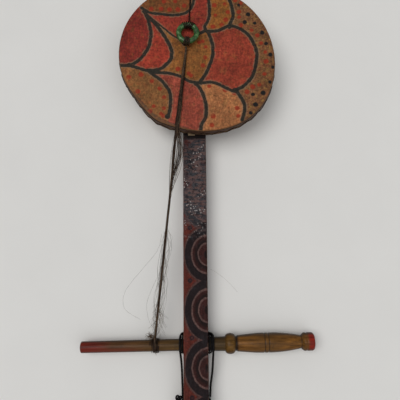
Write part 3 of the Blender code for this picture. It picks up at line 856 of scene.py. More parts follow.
def paint_front(mesh):
    """Store each point's field colour, its distance to the strokes and dots, its place on the edge, and
    painted shade where the hide creases.
    """
    points = points_of(mesh)
    flat = points[:, :2] / MM
    colors = np.tile(PAINT_BASE, (len(flat), 1))
    for color, steps in FIELDS:
        colors[within(flat, field_outline(steps))] = color
    line = distance_to_spots(flat, BLOBS)
    for name, (half_width, _) in STROKES.items():
        line = np.minimum(line, distance_to(flat, stroke_line(name)) - half_width)
    rng = random.Random(5)
    for layer, dots in (("red_dot", RED_DOTS), ("black_dot", BLACK_DOTS)):
        spots = [(x, y, DOT_RADII[layer] * rng.uniform(0.85, 1.2)) for x, y in dots]
        store(mesh, **{layer: distance_to_spots(flat, spots)})
    # Where the shoulder is wide, the paint stops before the edge, where the hide creases; that line gets
    # painted shade
    crease_share, crease_at, crease_half = 0.55, 0.6, 0.55
    angle = np.arctan2(points[:, 1], points[:, 0])
    rim = (outline(angle) - np.hypot(points[:, 0], points[:, 1]) - shoulder(angle) * crease_share) / MM
    wide = np.clip((swell(angle, WIDE_SHOULDER) / WIDE_SHOULDER[0] - 0.25) / 0.35, 0.0, 1.0)
    turned = np.clip(1.0 - rim, 0.0, 1.0) * wide
    colors = colors + (np.array(HEM_BROWN) - colors) * (turned * 0.85)[:, None]
    base = np.all(np.abs(colors - np.array(PAINT_BASE)) < 1e-4, axis=1)
    store(mesh, cell=colors, line=line + 6.0 * turned, crease=bell(rim, crease_at, crease_half) * wide * 0.7)
    store(mesh, band=base * 1.0, drop=(BODY_DEPTH - points[:, 2]) / MM - 0.35)


def make_front_hide(material):
    """The painted hide: the drum head, its rounded edge, its side and its hem."""
    across, bends, inner_bends, side_rings = 104, 9, 4, 7
    angles = full_turn(540)
    flat_edge = shoulder(angles)
    low = BODY_DEPTH - FRONT_DROP
    inner_z = BODY_DEPTH - HIDE - 3 * GAP
    rings = []
    for k in range(1, across + 1):
        share = k / across
        ring = ring_at(angles, flat_edge, BODY_DEPTH, share)
        dents = 0.00035 * bumps(ring, 22.0, 3.0) + 0.00012 * bumps(ring, 90.0, 8.0)
        ring[:, 2] += dents * (1 - share**8) - 0.0005 * (1 - share**2)
        rings.append(ring)
    for k in range(1, bends + 1):
        sin, cos = quarter_turn(k / bends)
        rings.append(ring_at(angles, flat_edge * (1 - sin), BODY_DEPTH - FRONT_DROP * (1 - cos)))
    for k in range(1, side_rings + 1):
        share = k / side_rings
        z = low + (FRONT_HEM_Z - low) * share
        ring = ring_at(angles, 0.0, z)
        pucker = 0.00035 * bumps(ring, 130.0, 1.0) * share
        rings.append(ring_at(angles, 0.0002 - pucker, z + 0.0004 * bumps(ring, 60.0, 5.0) * share**2))
    for inset, z in ((HIDE * 0.6, FRONT_HEM_Z - 0.0001), (HIDE, FRONT_HEM_Z + 0.0003), (HIDE, low)):
        rings.append(ring_at(angles, inset, z))
    for k in range(1, inner_bends + 1):
        sin, cos = quarter_turn(k / inner_bends)
        inset = HIDE + (flat_edge + GAP - HIDE) * (1 - cos)
        rings.append(ring_at(angles, inset, low + (FRONT_DROP - HIDE) * sin))
    for share in (0.9, 0.7, 0.4, 0.15):
        rings.append(ring_at(angles, 0.0, inner_z, share))
    top = (0.0, 0.0, float(rings[0][:, 2].mean()))
    mesh = lofted_mesh("front_hide", rings, top, (0.0, 0.0, inner_z))
    paint_front(mesh)
    obj = add_object("front_hide", mesh, material, "fiddle", "painted_hide", "front_skin")


def make_back_hide(material):
    """The hide on the back: its flat, its creased side and its hem, cut for the neck and the tail."""
    flat_rings, bends, side_rings, inner_rings = 26, 5, 64, 8
    angles = full_turn(420)
    rings, folds = [], []

    def add(ring, fold=0.0):
        rings.append(ring)
        folds.append(np.broadcast_to(fold, angles.shape))

    flat = lean(0.0) + BACK_EDGE
    wall = lean(BACK_DROP)
    for k in range(1, flat_rings):
        share = k / flat_rings
        ring = ring_at(angles, flat, 0.0, share)
        ring[:, 2] = 0.0002 * (1 + bumps(ring, 30.0, 2.0)) * (1 - share**6) * min(1.0, 3.0 - 3.0 * share)
        add(ring)
    for k in range(bends + 1):
        sin, cos = quarter_turn(k / bends)
        add(ring_at(angles, wall + (flat - wall) * (1 - sin), BACK_DROP * (1 - cos)))
    for k in range(1, side_rings + 1):
        z = BACK_DROP + (BACK_HEM_Z - BACK_DROP) * k / side_rings
        ring = ring_at(angles, lean(z), z)
        gather = bumps(ring * np.array((1.0, 1.0, 0.25)), 150.0, 4.0)
        dent = bumps(ring, 45.0, 7.0)
        wander = z + 0.0010 * bumps(ring * np.array((1.0, 1.0, 0.0)), 26.0, 9.0)
        # The creases are pressed into the side and also get painted shade
        crease = bell(wander, 0.0345, 0.0007) + 0.7 * bell(wander, 0.0290, 0.0005)
        inset = lean(z) + 0.0002 - 0.00028 * gather - 0.0003 * dent + 0.0009 * crease
        add(ring_at(angles, inset, z), np.clip(crease, 0, 1))
    # Painted shade: half on the hem, full over the hide's inner side
    add(ring_at(angles, lean(BACK_HEM_Z) + HIDE * 0.5, BACK_HEM_Z + 0.0003), 0.5)
    for k in range(inner_rings + 1):
        z = BACK_HEM_Z + (BACK_DROP - BACK_HEM_Z) * k / inner_rings
        add(ring_at(angles, lean(z) + HIDE * 1.4, z), 1.0)
    add(ring_at(angles, flat + 0.0006, HIDE), 1.0)
    for share in (0.7, 0.3):
        add(ring_at(angles, flat, HIDE, share), 1.0)
    mesh = lofted_mesh("back_hide", rings, (0.0, 0.0, 0.0002), (0.0, 0.0, HIDE))
    store(mesh, fold=np.concatenate([*folds, [0.0], [1.0]]))
    obj = add_object("back_hide", mesh, material, "fiddle", "plain_hide", "back_skin")
    half = NECK_WIDTH / 2 + SLOT_PLAY
    hole = TAIL_SIZE / 2 + SLOT_PLAY
    cut_box(obj, (NECK_X - half, -0.14, HIDE + GAP / 2), (NECK_X + half, -0.075, SLOT_TOP_Z))
    cut_box(obj, (NECK_X - hole, 0.08, TAIL_Z - hole), (NECK_X + hole, 0.14, TAIL_Z + hole))


def make_lacing(material):
    """The thong that zigzags over the seam, drawn tight at each hole."""
    stitches, between = 36, 8
    high_hole, low_hole, proud = 0.0465, 0.0375, 0.0002
    rng = random.Random(11)
    corners = []
    for i in range(2 * stitches):
        angle = math.pi * i / stitches + rng.uniform(-0.006, 0.006)
        z = (high_hole if i % 2 else low_hole) + rng.uniform(-0.0004, 0.0004)
        corners.append(Vector(ring_at(np.array([angle]), lean(z) - proud, z)[0]))
    path = []
    for i, here in enumerate(corners):
        there = corners[(i + 1) % len(corners)]
        for k in range(between):
            place = here.lerp(there, k / between)
            out = Vector((place.x, place.y, 0.0)).normalized()
            path.append(place + out * 0.0004 * math.sin(math.pi * k / between))
    curve = laid_cord("lacing", [*path, path[0]], 0.00069, 0.004, plies=2, closed=True)
    add_object("lacing", curve, material, "fiddle", "hide_thong", "seam_lacing")


# Neck

# Where the arches meet on the neck's right edge, and the rosettes between them
ARCH_ENDS = (-0.058, -0.116, -0.1752, -0.2405, -0.3110, -0.3859, -0.4548, -0.5230)
ARCH_WIDTH = 0.0309
ARCH_TALL = 1.055
ARCH_FAR = 1.3
ROSETTES = [(-13.3, -177.8), (-10.9, -240.3), (-11.2, -310.2), (-9.0, -383.2), (-9.4, -455.8)]
ROSETTE_FAR = 9.0
WORN_FROM_Y = -0.262
SLOT_SHADE_Y = -0.1150


def neck_section(half, low, high, corner):
    """A rounded rectangle as offsets (x, z), with points along its sides and round its corners."""
    wide = int(2 * half / MM)
    tall = int((high - low) / MM * 0.7)
    corners = ((half, low), (half, high), (-half, high), (-half, low))
    rows = []
    for n, count in enumerate((tall, wide, tall, wide)):
        (ax, az), (bx, bz) = corners[n], corners[(n + 1) % 4]
        length = math.hypot(bx - ax, bz - az)
        ux, uz = (bx - ax) / length, (bz - az) / length
        for k in range(count):
            d = corner + (length - 2 * corner) * k / (count - 1)
            rows.append((ax + ux * d, az + uz * d))
        for k in (1, 2, 3):
            sin, cos = math.sin(math.pi / 8 * k), math.cos(math.pi / 8 * k)
            cx, cz = bx - (ux + uz) * corner, bz - (uz - ux) * corner
            rows.append((cx + corner * (uz * cos + ux * sin), cz + corner * (uz * sin - ux * cos)))
    return np.array(rows)


def resize_section(section, half, low, high):
    """The same section squeezed to another rectangle."""
    x = section[:, 0] / np.abs(section[:, 0]).max() * half
    share = (section[:, 1] - section[:, 1].min()) / np.ptp(section[:, 1])
    return np.column_stack([x, low + (high - low) * share])


def corner_gap(points):
    """How far each point of the neck is from its nearest long edge."""
    x = np.abs(np.abs(points[:, 0] - NECK_X) - NECK_WIDTH / 2)
    z = np.minimum(np.abs(points[:, 2] - NECK_BACK_Z), np.abs(points[:, 2] - NECK_FRONT_Z))
    return np.maximum(x, z)


def wear_neck(ring):
    """Hollow the sides a little and rub the edges off unevenly."""
    chips = 0.0007 * np.maximum(bumps(ring, 130.0, 6.0), 0.0)
    nicks = 0.0003 * np.maximum(bumps(ring, 320.0, 2.0), 0.0)
    near = np.clip(1.0 - corner_gap(ring) / 0.0022, 0.0, 1.0)
    pull = 0.00012 * (1 + bumps(ring, 55.0, 4.0)) + (chips + nicks) * near
    inward = np.array((NECK_X, 0.0, (NECK_BACK_Z + NECK_FRONT_Z) / 2)) - ring
    inward[:, 1] = 0.0
    ring += inward / np.linalg.norm(inward, axis=1)[:, None] * pull[:, None]


def make_neck(material):
    """The painted neck with its spike through the body, its tail, the cord grooves and the peg's hole."""
    spacing, beside, edge = 0.0013, 0.0002, 0.00005
    half = NECK_WIDTH / 2
    full = neck_section(half, NECK_BACK_Z, NECK_FRONT_Z, 0.0014)
    places = list(np.arange(NECK_TIP_Y + 0.0012, NECK_INNER_Y - 0.001, spacing))
    for low, high in CORD_GROOVES:
        places = [y for y in places if min(abs(y - low), abs(y - high)) > 2 * beside]
        places += [low - beside, low + edge, high - edge, high + beside]
    rings = []

    def add(y, section):
        rings.append(np.column_stack([NECK_X + section[:, 0], np.full(len(section), y), section[:, 1]]))

    def trimmed(trim):
        return resize_section(full, half - trim, NECK_BACK_Z + trim, NECK_FRONT_Z - trim)

    def tail(size):
        return resize_section(full, size, TAIL_Z - size, TAIL_Z + size)

    add(NECK_TIP_Y, trimmed(0.0012))
    add(NECK_TIP_Y + 0.0004, trimmed(0.0004))
    for y in sorted(places):
        section = full.copy()
        if any(low <= y <= high for low, high in CORD_GROOVES):
            section[:, 1] = np.maximum(section[:, 1], NECK_BACK_Z + GROOVE_DEPTH)
        add(y, section)
        wear_neck(rings[-1])
    add(NECK_INNER_Y, trimmed(0.0006))
    for y in (NECK_INNER_Y, -0.05, 0.0, 0.05, TAIL_START_Y):
        add(y, resize_section(full, SPIKE_WIDTH / 2, *SPIKE_Z))
    for y in (TAIL_START_Y, 0.100, TAIL_END_Y - 0.0075):
        add(y, tail(TAIL_SIZE / 2))
    for before, trim in ((0.0068, 0.0006), (0.0060, 0.0), (0.0010, 0.0), (0.0, 0.0012)):
        add(TAIL_END_Y - before, tail(TAIL_SIZE / 2 + TAIL_HEAD - trim))
    mesh = lofted_mesh("painted_neck", rings)
    obj = add_object("painted_neck", mesh, material, "fiddle", "painted_wood", "neck")
    reach = 0.022
    cone = bmesh.new()
    radii = {"radius1": peg_radius(-reach) + GAP, "radius2": peg_radius(reach) + GAP}
    bmesh.ops.create_cone(cone, cap_ends=True, segments=64, depth=2 * reach, **radii)
    cut_away(obj, mesh_from(cone, "cutter"), peg_frame())
    obj.data.set_sharp_from_angle(angle=math.radians(50))
    paint_neck(obj.data)


def paint_neck(mesh):
    """Store where each point is in its arch, how far from a rosette, how worn, and how near an edge."""
    points = points_of(mesh)
    x, y, z = points.T
    front = z > NECK_FRONT_Z - 0.0016
    arch = np.full(len(points), ARCH_FAR)
    for high, low in zip(ARCH_ENDS[:-1], ARCH_ENDS[1:]):
        tall = (high - low) / 2 * ARCH_TALL
        value = np.hypot((NECK_RIGHT - x) / ARCH_WIDTH, (y - (high + low) / 2) / tall)
        arch = np.where((y <= high) & (y > low) & front, value, arch)
    rosette = np.min([np.hypot(x / MM - at_x, y / MM - at_y) for at_x, at_y in ROSETTES], axis=0)
    rosette = np.where(front, np.minimum(rosette, ROSETTE_FAR), ROSETTE_FAR)
    store(mesh, arch=np.minimum(arch, ARCH_FAR), rosette=rosette)
    store(mesh, worn=np.clip((y - WORN_FROM_Y) / 0.05, 0.0, 1.0) * front)
    store(mesh, slot_shade=np.clip((y - SLOT_SHADE_Y) / 0.0020, 0.0, 1.0) * 0.8)
    store(mesh, corner=np.clip(1.0 - corner_gap(points) / 0.0016, 0.0, 1.0) * (y < NECK_INNER_Y))


# Peg


def peg_frame():
    """The peg's own frame: local +Z runs along its axis to the handle."""
    along = Vector((math.cos(PEG_TILT), math.sin(PEG_TILT), 0.0))
    up = Vector((0.0, 0.0, 1.0))
    return Matrix.Translation(PEG_AT) @ Matrix((up, up.cross(along), along)).transposed().to_4x4()


def peg_radius(t):
    """The rod's radius: it grows slowly on the string's side, and faster through the neck to the collar."""
    if t < -0.02:
        return ROD_RADIUS + (ROD_NECK_RADIUS - ROD_RADIUS) * max(0.0, (t + 0.13) / 0.11)
    return ROD_NECK_RADIUS + (ROD_COLLAR_RADIUS - ROD_NECK_RADIUS) * (t + 0.02) / 0.056


def turned_radius(t):
    """The turned profile's radius anywhere along the peg."""
    if t < PEG_LEFT + PEG_ROUNDING:
        inside = PEG_ROUNDING**2 - (PEG_LEFT + PEG_ROUNDING - t) ** 2
        return ROD_RADIUS - PEG_ROUNDING + math.sqrt(max(0.0, inside))
    if t < BEAD_AT - BEAD_HALF:
        return peg_radius(min(t, 0.036))
    if t <= BEAD_AT + BEAD_HALF:
        bead = math.sqrt(max(0.0, 1.0 - ((t - BEAD_AT) / BEAD_HALF) ** 2))
        return ROD_COLLAR_RADIUS + 0.0002 + (BEAD_RADIUS - ROD_COLLAR_RADIUS) * bead
    if t < WAIST_AT + 0.0012:
        return WAIST_RADIUS - 0.0006
    if t < BARREL_AT:
        share = (t - WAIST_AT) / (BARREL_AT - WAIST_AT)
        return WAIST_RADIUS + (BARREL_RADIUS - WAIST_RADIUS) * math.sin(share * math.pi / 2)
    if t <= BARREL_END:
        share = (t - BARREL_AT) / (BARREL_END - BARREL_AT)
        return BARREL_RADIUS - (BARREL_RADIUS - BARREL_END_RADIUS) * share**2.2
    share = (t - BARREL_END) / (PEG_RIGHT - BARREL_END)
    if share < 0.3:
        return BARREL_END_RADIUS + (KNOB_RADIUS - BARREL_END_RADIUS) * math.sin(share / 0.3 * math.pi / 2)
    crown = 0.0022 * max(0.0, (share - 0.80) / 0.20) ** 2.5
    return KNOB_RADIUS - 0.0006 * bell(share, 0.42, 0.05) - crown


def groove_share(t):
    """How deep in one of the handle's cut lines this place is, from 0 to 1."""
    return sum(bell(t, groove, GROOVE_HALF * 0.6) for groove in PEG_GROOVES)


def make_peg(material):
    """The turned peg with its bead, waist, grooved barrel and knob."""
    step, uneven, past = 0.0007, 0.00012, 0.0002
    angles = full_turn(72)
    frame_matrix = np.array(peg_frame())

    def placed(points):
        return points @ frame_matrix[:3, :3].T + frame_matrix[:3, 3]

    local = []
    for t in [*np.arange(PEG_LEFT, PEG_RIGHT, step), PEG_RIGHT]:
        r = turned_radius(t) - GROOVE_HALF * 0.9 * groove_share(t)
        ring = np.column_stack([r * np.cos(angles), r * np.sin(angles), np.full(len(angles), t)])
        flats = uneven * bumps(ring, 70.0, 3.0) + 0.00005 * bumps(ring, 400.0, 9.0)
        ring[:, :2] *= 1.0 - uneven / r + flats[:, None] / r
        local.append(ring)
    ends = [placed(np.array((0.0, 0.0, t))) for t in (PEG_LEFT - past, PEG_RIGHT + past)]
    mesh = lofted_mesh("turned_peg", [placed(ring) for ring in local], *ends)
    x, y, t = np.concatenate([*local, [(0, 0, PEG_LEFT), (0, 0, PEG_RIGHT)]]).T
    # side is painted shade: 0 where the surface faces up or down, rising to 1 at the edges seen from above
    side = np.abs(y) / np.maximum(np.hypot(x, y), 1e-6)
    cut = groove_share(t) + bell(t, WAIST_AT, 0.0011) + 0.7 * bell(t, BARREL_END, 0.0008)
    store(mesh, along=t / MM, under=np.clip(-y / ROD_RADIUS * 1.5, 0.0, 1.0))
    store(mesh, side=np.clip((side - 0.70) / 0.24, 0.0, 1.0), cut=np.minimum(cut, 1.0))
    add_object("turned_peg", mesh, material, "peg", "varnished_wood", "tuning_peg")


# Ring, tail cord and string


def make_ring(material):
    """The ring, thicker and thinner by turns as it was formed by hand."""
    turn = full_turn(36)
    rings = []
    for a in full_turn(144):
        thick = RING_MINOR * (1.0 + 0.035 * math.sin(3 * a + 1.0) + 0.02 * math.sin(7 * a))
        out = np.array((math.cos(a), math.sin(a), 0.0))
        place = np.array(RING_AT) + np.outer(RING_MAJOR + thick * np.cos(turn), out)
        place[:, 2] += thick * np.sin(turn)
        rings.append(place)
    mesh = lofted_mesh("green_ring", rings, closed=True)
    add_object("green_ring", mesh, material, "fiddle", "green_ring", "string_ring")


def coil_on_ring(degrees, turns, wrap, pitch, steps=28):
    """Turns of cord round the ring's own section, spread about one place on the ring."""
    reach = RING_MINOR + GAP + wrap
    path = []
    for i in range(turns * steps + 1):
        share = i / (turns * steps) - 0.5
        place = math.radians(degrees) + share * turns * pitch / RING_MAJOR
        out = Vector((math.cos(place), math.sin(place), 0.0))
        turn = 2 * math.pi * share * turns
        rise = Vector((0.0, 0.0, reach * math.sin(turn)))
        path.append(RING_AT + out * (RING_MAJOR + reach * math.cos(turn)) + rise)
    return path


TAIL_ROUTE = mm(
    (-10.4, 48.2, 59.2), (-10.0, 54.0, 56.6), (-9.5, 62.0, 55.3), (-8.0, 86.0, 55.3), (-6.8, 105.0, 55.3),
    (-6.4, 110.5, 54.6), (-6.0, 113.8, 52.0), (-5.6, 114.9, 47.0), (-5.0, 115.3, 37.0), (-4.4, 116.0, 27.0),
    (-4.1, 116.5, 21.0),
)
TAIL_TURNS_Y = 0.1145
TAIL_TURNS_PITCH = 0.0022


def make_tail_cord(material):
    """The dark twine from the ring over the far edge to the tail, with its turns at both ends."""
    rng = random.Random(21)
    path = smooth_path(TAIL_ROUTE, 6)
    curve = laid_cord("tail_twine", path, CORD_RADIUS * 1.1, CORD_PITCH)
    fuzz_on(curve, path, CORD_RADIUS, 40, 0.0012, 0.16, rng)
    add_object("tail_twine", curve, material, "fiddle", "tail_twine", "tail_cord")

    thin = CORD_RADIUS * 0.62
    coil = coil_on_ring(83.7, 7, thin, 0.0023)
    curve = laid_cord("ring_knot", coil, thin, 0.0036)
    fuzz_on(curve, coil, thin, 60, 0.0016, 0.2, rng)
    add_object("ring_knot", curve, material, "fiddle", "tail_twine", "ring_hitch")

    turns, corners = 3, 32
    reach = TAIL_SIZE / 2 + GAP + CORD_RADIUS
    path = []
    for i in range(turns * corners + 1):
        a = 2 * math.pi * i / corners
        x, z = (reach * max(-1.0, min(1.0, 1.35 * share)) for share in (math.cos(a), math.sin(a)))
        path.append((NECK_X + x, TAIL_TURNS_Y + TAIL_TURNS_PITCH * i / corners, TAIL_Z + z))
    curve = laid_cord("tail_turns", path, CORD_RADIUS, CORD_PITCH)
    add_object("tail_turns", curve, material, "fiddle", "tail_twine", "tail_hitch")


# From the ring over the hide and the rim, down to the peg and over its front
STRING_ROUTE = mm(
    (-14.3, 8.8, 59.0), (-14.9, 3.0, 57.2), (-15.8, -5.0, 56.3), (-19.9, -43.0, 56.2), (-23.5, -76.0, 56.2),
    (-26.6, -104.0, 56.2), (-27.9, -116.0, 54.9), (-31.2, -146.0, 51.4), (-38.6, -215.0, 43.6),
    (-46.8, -291.0, 35.0), (-56.6, -382.0, 26.0), (-57.1, -388.0, 25.2), (-57.4, -392.5, 24.4),
    (-57.7, -396.6, 23.0), (-57.9, -399.8, 20.4), (-58.0, -401.4, 17.0),
)
# How wide and how deep the bundle of hairs is, by the distance below the body's middle
WIDE_AT = (-0.006, 0.02, 0.10, 0.116, 0.135, 0.19, 0.30, 0.382, 0.390)
BUNDLE_WIDE = (0.0011, 0.0017, 0.0026, 0.0018, 0.0009, 0.0012, 0.0013, 0.0011, 0.0009)
DEEP_AT = (-0.006, 0.10, 0.20, 0.382, 0.390)
BUNDLE_DEEP = (0.0010, 0.0007, 0.0013, 0.0012, 0.0007)
SPLAY_FROM = -0.108
SPLAY_TO = -0.178
STRAY_FROM = -0.236
# Single hairs that have come away: the share of the curve's thickness, and the points
WISPS = [
    (0.5, mm(
        (-48, -250, 40), (-53, -270, 38), (-70.6, -291, 31), (-90, -313, 26), (-97.5, -325, 24),
        (-100, -336, 22), (-96, -348, 20), (-77, -360, 19),
    )),
    (0.5, mm((-51, -300, 34), (-60, -318, 30), (-68, -340, 26), (-65, -362, 22), (-56, -374, 22))),
    (0.35, mm((15, -295, 28.2), (25, -300.4, 22), (40, -312, 14), (52.4, -325.6, 10))),
]


def hump(y, start, end):
    """0 at both ends of a stretch and 1 at its middle."""
    share = np.clip((y - start) / (end - start), 0.0, 1.0)
    return np.sin(math.pi * share) ** 1.3


def make_string(dark, pale):
    """The horsehair string: a twisted core, a sleeve of hairs, hairs that splay at the rim, and strays."""
    rng = random.Random(33)
    route = smooth_path(STRING_ROUTE, 8)
    middle = evenly(route, 0.0024)
    y = middle[:, 1]
    far = np.linspace(0, 1, len(middle))
    flat = np.interp(-y, WIDE_AT, BUNDLE_WIDE)
    deep = np.interp(-y, DEEP_AT, BUNDLE_DEEP)

    core = laid_cord("string_core", route, 0.00105, 0.012, plies=4)
    add_object("string_core", core, dark, "fiddle", "horsehair", "hair_string")

    dark_hairs = new_curve("string_hairs", 0.0002)
    pale_hairs = new_curve("string_pale_hairs", 0.0002)

    def moved(x, z):
        return middle + np.column_stack([x, np.zeros(len(middle)), z])

    for i in range(110):
        angle = rng.uniform(0, 2 * math.pi) + far * rng.uniform(3, 14)
        near = rng.uniform(0.55, 1.05) * (1.0 + 0.25 * np.sin(far * rng.uniform(10, 30) + rng.uniform(0, 6)))
        fan = hump(y, -0.106, SPLAY_TO) * (-0.0012 if i % 9 else rng.uniform(0.002, 0.009))
        points = moved(flat * near * np.cos(angle) + fan, deep * near * np.sin(angle))
        add_strand(dark_hairs if i % 4 else pale_hairs, points, rng.uniform(0.8, 1.3))
    for i in range(24):
        reach = rng.uniform(0.001, 0.0125) if i % 5 else -rng.uniform(0.0005, 0.0035)
        start = SPLAY_FROM + rng.uniform(-0.002, 0.012)
        bow = hump(y, start, SPLAY_TO - rng.uniform(-0.012, 0.030)) * reach
        angle = rng.uniform(0, 2 * math.pi) + far * rng.uniform(1, 7)
        sink = np.abs(bow) * rng.uniform(-0.5, 0.35)
        points = moved(bow + 0.0012 * np.cos(angle), sink + 0.0009 * np.sin(angle))
        add_strand(dark_hairs if i % 3 else pale_hairs, points, rng.uniform(0.7, 1.15))
    for i in range(70):
        start = rng.uniform(STRAY_FROM, -0.345)
        end = start - rng.uniform(0.02, 0.09)
        way = rng.choice((-1, 1))
        bow = hump(y, start, max(end, -0.384)) * rng.uniform(0.002, 0.0095 if way > 0 else 0.007) * way
        curl = 0.0006 * np.sin(far * rng.uniform(20, 60))
        points = moved(bow + curl, np.abs(bow) * rng.uniform(-0.6, 0.5))
        near = (y < start + 0.01) & (y > end - 0.01)
        add_strand(pale_hairs if i % 3 else dark_hairs, points[near], rng.uniform(0.35, 0.6))
    run = np.linspace(0, 1, 10)
    for _ in range(26):
        start = rng.uniform(-0.33, -0.365)
        way = rng.choice((-1, 1, 1))
        drift = rng.uniform(0.004, 0.013)
        root = np.array([np.interp(-start, -y, middle[:, k]) for k in range(3)])
        drop = rng.uniform(0.010, 0.030)
        points = root + np.column_stack([way * drift * run**1.4, -drop * run, -0.5 * drift * run])
        add_strand(pale_hairs, points, rng.uniform(0.5, 0.8), 0.6)
    add_object("string_hairs", dark_hairs, dark, "fiddle", "horsehair")
    for thickness, points in WISPS:
        add_strand(pale_hairs, evenly(smooth_path(points, 8), 0.002), thickness)
    add_object("string_pale_hairs", pale_hairs, pale, "fiddle", "horsehair")

    coil = coil_on_ring(-96.3, 3, HAIR_RADIUS, 0.0025)
    curve = laid_cord("string_loop", coil, HAIR_RADIUS * 1.1, 0.011, plies=5)
    fuzz_on(curve, coil, HAIR_RADIUS, 24, 0.0012, 0.2, rng)
    add_object("string_loop", curve, dark, "fiddle", "horsehair", "hair_loop")


def winding_path(reach, steps, shift=0.0, turns=WINDING_TURNS):
    """Turns round the rod where the string is wound."""
    path = []
    for i in range(int(turns * steps) + 1):
        a = 2 * math.pi * i / steps
        along = WINDING_AT + shift + (i / (turns * steps) - 0.5) * WINDING_TURNS * WINDING_PITCH
        path.append(peg_frame() @ Vector((reach * math.cos(a), reach * math.sin(a), along)))
    return path


def over_peg(x, top_y, low_y, clear):
    """A cord's way down the front of the peg beside the neck, from above it to below it."""
    radius = peg_radius(x - NECK_X) + clear
    middle_y = PEG_AT.y + (x - NECK_X) * math.tan(PEG_TILT)
    path = [(x, top_y, OVER_PEG_END_Z)]
    for degrees in (15, 50, 90, 130, 165):
        a = math.radians(degrees)
        path.append((x, middle_y + radius * math.cos(a), PEG_AT.z + radius * math.sin(a)))
    path.append((x, low_y, OVER_PEG_END_Z))
    return path


def make_winding(dark, pale):
    """The string's turns on the peg, loose hairs over them and the tuft of cut ends."""
    rng = random.Random(41)
    reach = peg_radius(WINDING_AT) + GAP + HAIR_RADIUS * 0.6
    curve = laid_cord("peg_turns", winding_path(reach, 36), HAIR_RADIUS * 0.5, 0.009, plies=4)
    for _ in range(20):
        lift, shift = rng.uniform(-0.0002, 0.0010), rng.uniform(-0.0040, 0.0032)
        loose = winding_path(reach + lift, 24, shift, rng.uniform(1.4, 3.8))
        add_strand(curve, np.array(loose), rng.uniform(0.14, 0.30))
    for _ in range(12):
        x = -0.0562 + rng.uniform(-0.0016, 0.0013)
        over = over_peg(x, -0.3822, -0.4015, GAP + HAIR_RADIUS * 1.3 + rng.uniform(0.0, 0.0006))
        add_strand(curve, evenly(smooth_path(over[1:-1], 6), 0.001), rng.uniform(0.2, 0.34))
    add_object("peg_turns", curve, dark, "peg", "horsehair", "string_winding")

    tuft = new_curve("peg_tuft", 0.00022)
    root = Vector((-0.0600, -0.3822, 0.0190))
    for _ in range(52):
        way = scatter(rng, (-0.3, -1.0), (-0.35, 0.65), (-0.4, 0.35)).normalized()
        out = rng.uniform(0.004, 0.0105)
        start = root + scatter(rng, (-0.0045, 0.003), (-0.0015, 0.0020), (-0.002, 0.002))
        bend = scatter(rng, (-0.5, 0.5), (-0.8, 0.6), (-0.5, 0.2)) * out
        path = smooth_path([start, start + way * out * 0.6, start + way * out * 0.8 + bend * 0.6], 5)
        add_strand(tuft, evenly(path, 0.001), rng.uniform(0.6, 1.2), 0.5)
    end = Vector((-0.0562, -0.4012, 0.0170))
    for _ in range(12):
        start = end + Vector((rng.uniform(-0.0012, 0.0012), 0.0, rng.uniform(-0.001, 0.001)))
        tip = start + scatter(rng, (-0.0015, 0.0015), (-0.001, -0.0045), (0.0, -0.002))
        add_strand(tuft, np.array([start, (start + tip) / 2, tip]), 0.8, 0.5)
    add_object("peg_tuft", tuft, pale, "peg", "horsehair")


# Lashing, with the places along the neck where its inner loops and its bight cross the neck's back
LOOP_TOP_Y = -0.3811
LOOP_LOW_Y = -0.4041
BIGHT_TOP_Y = -0.3785


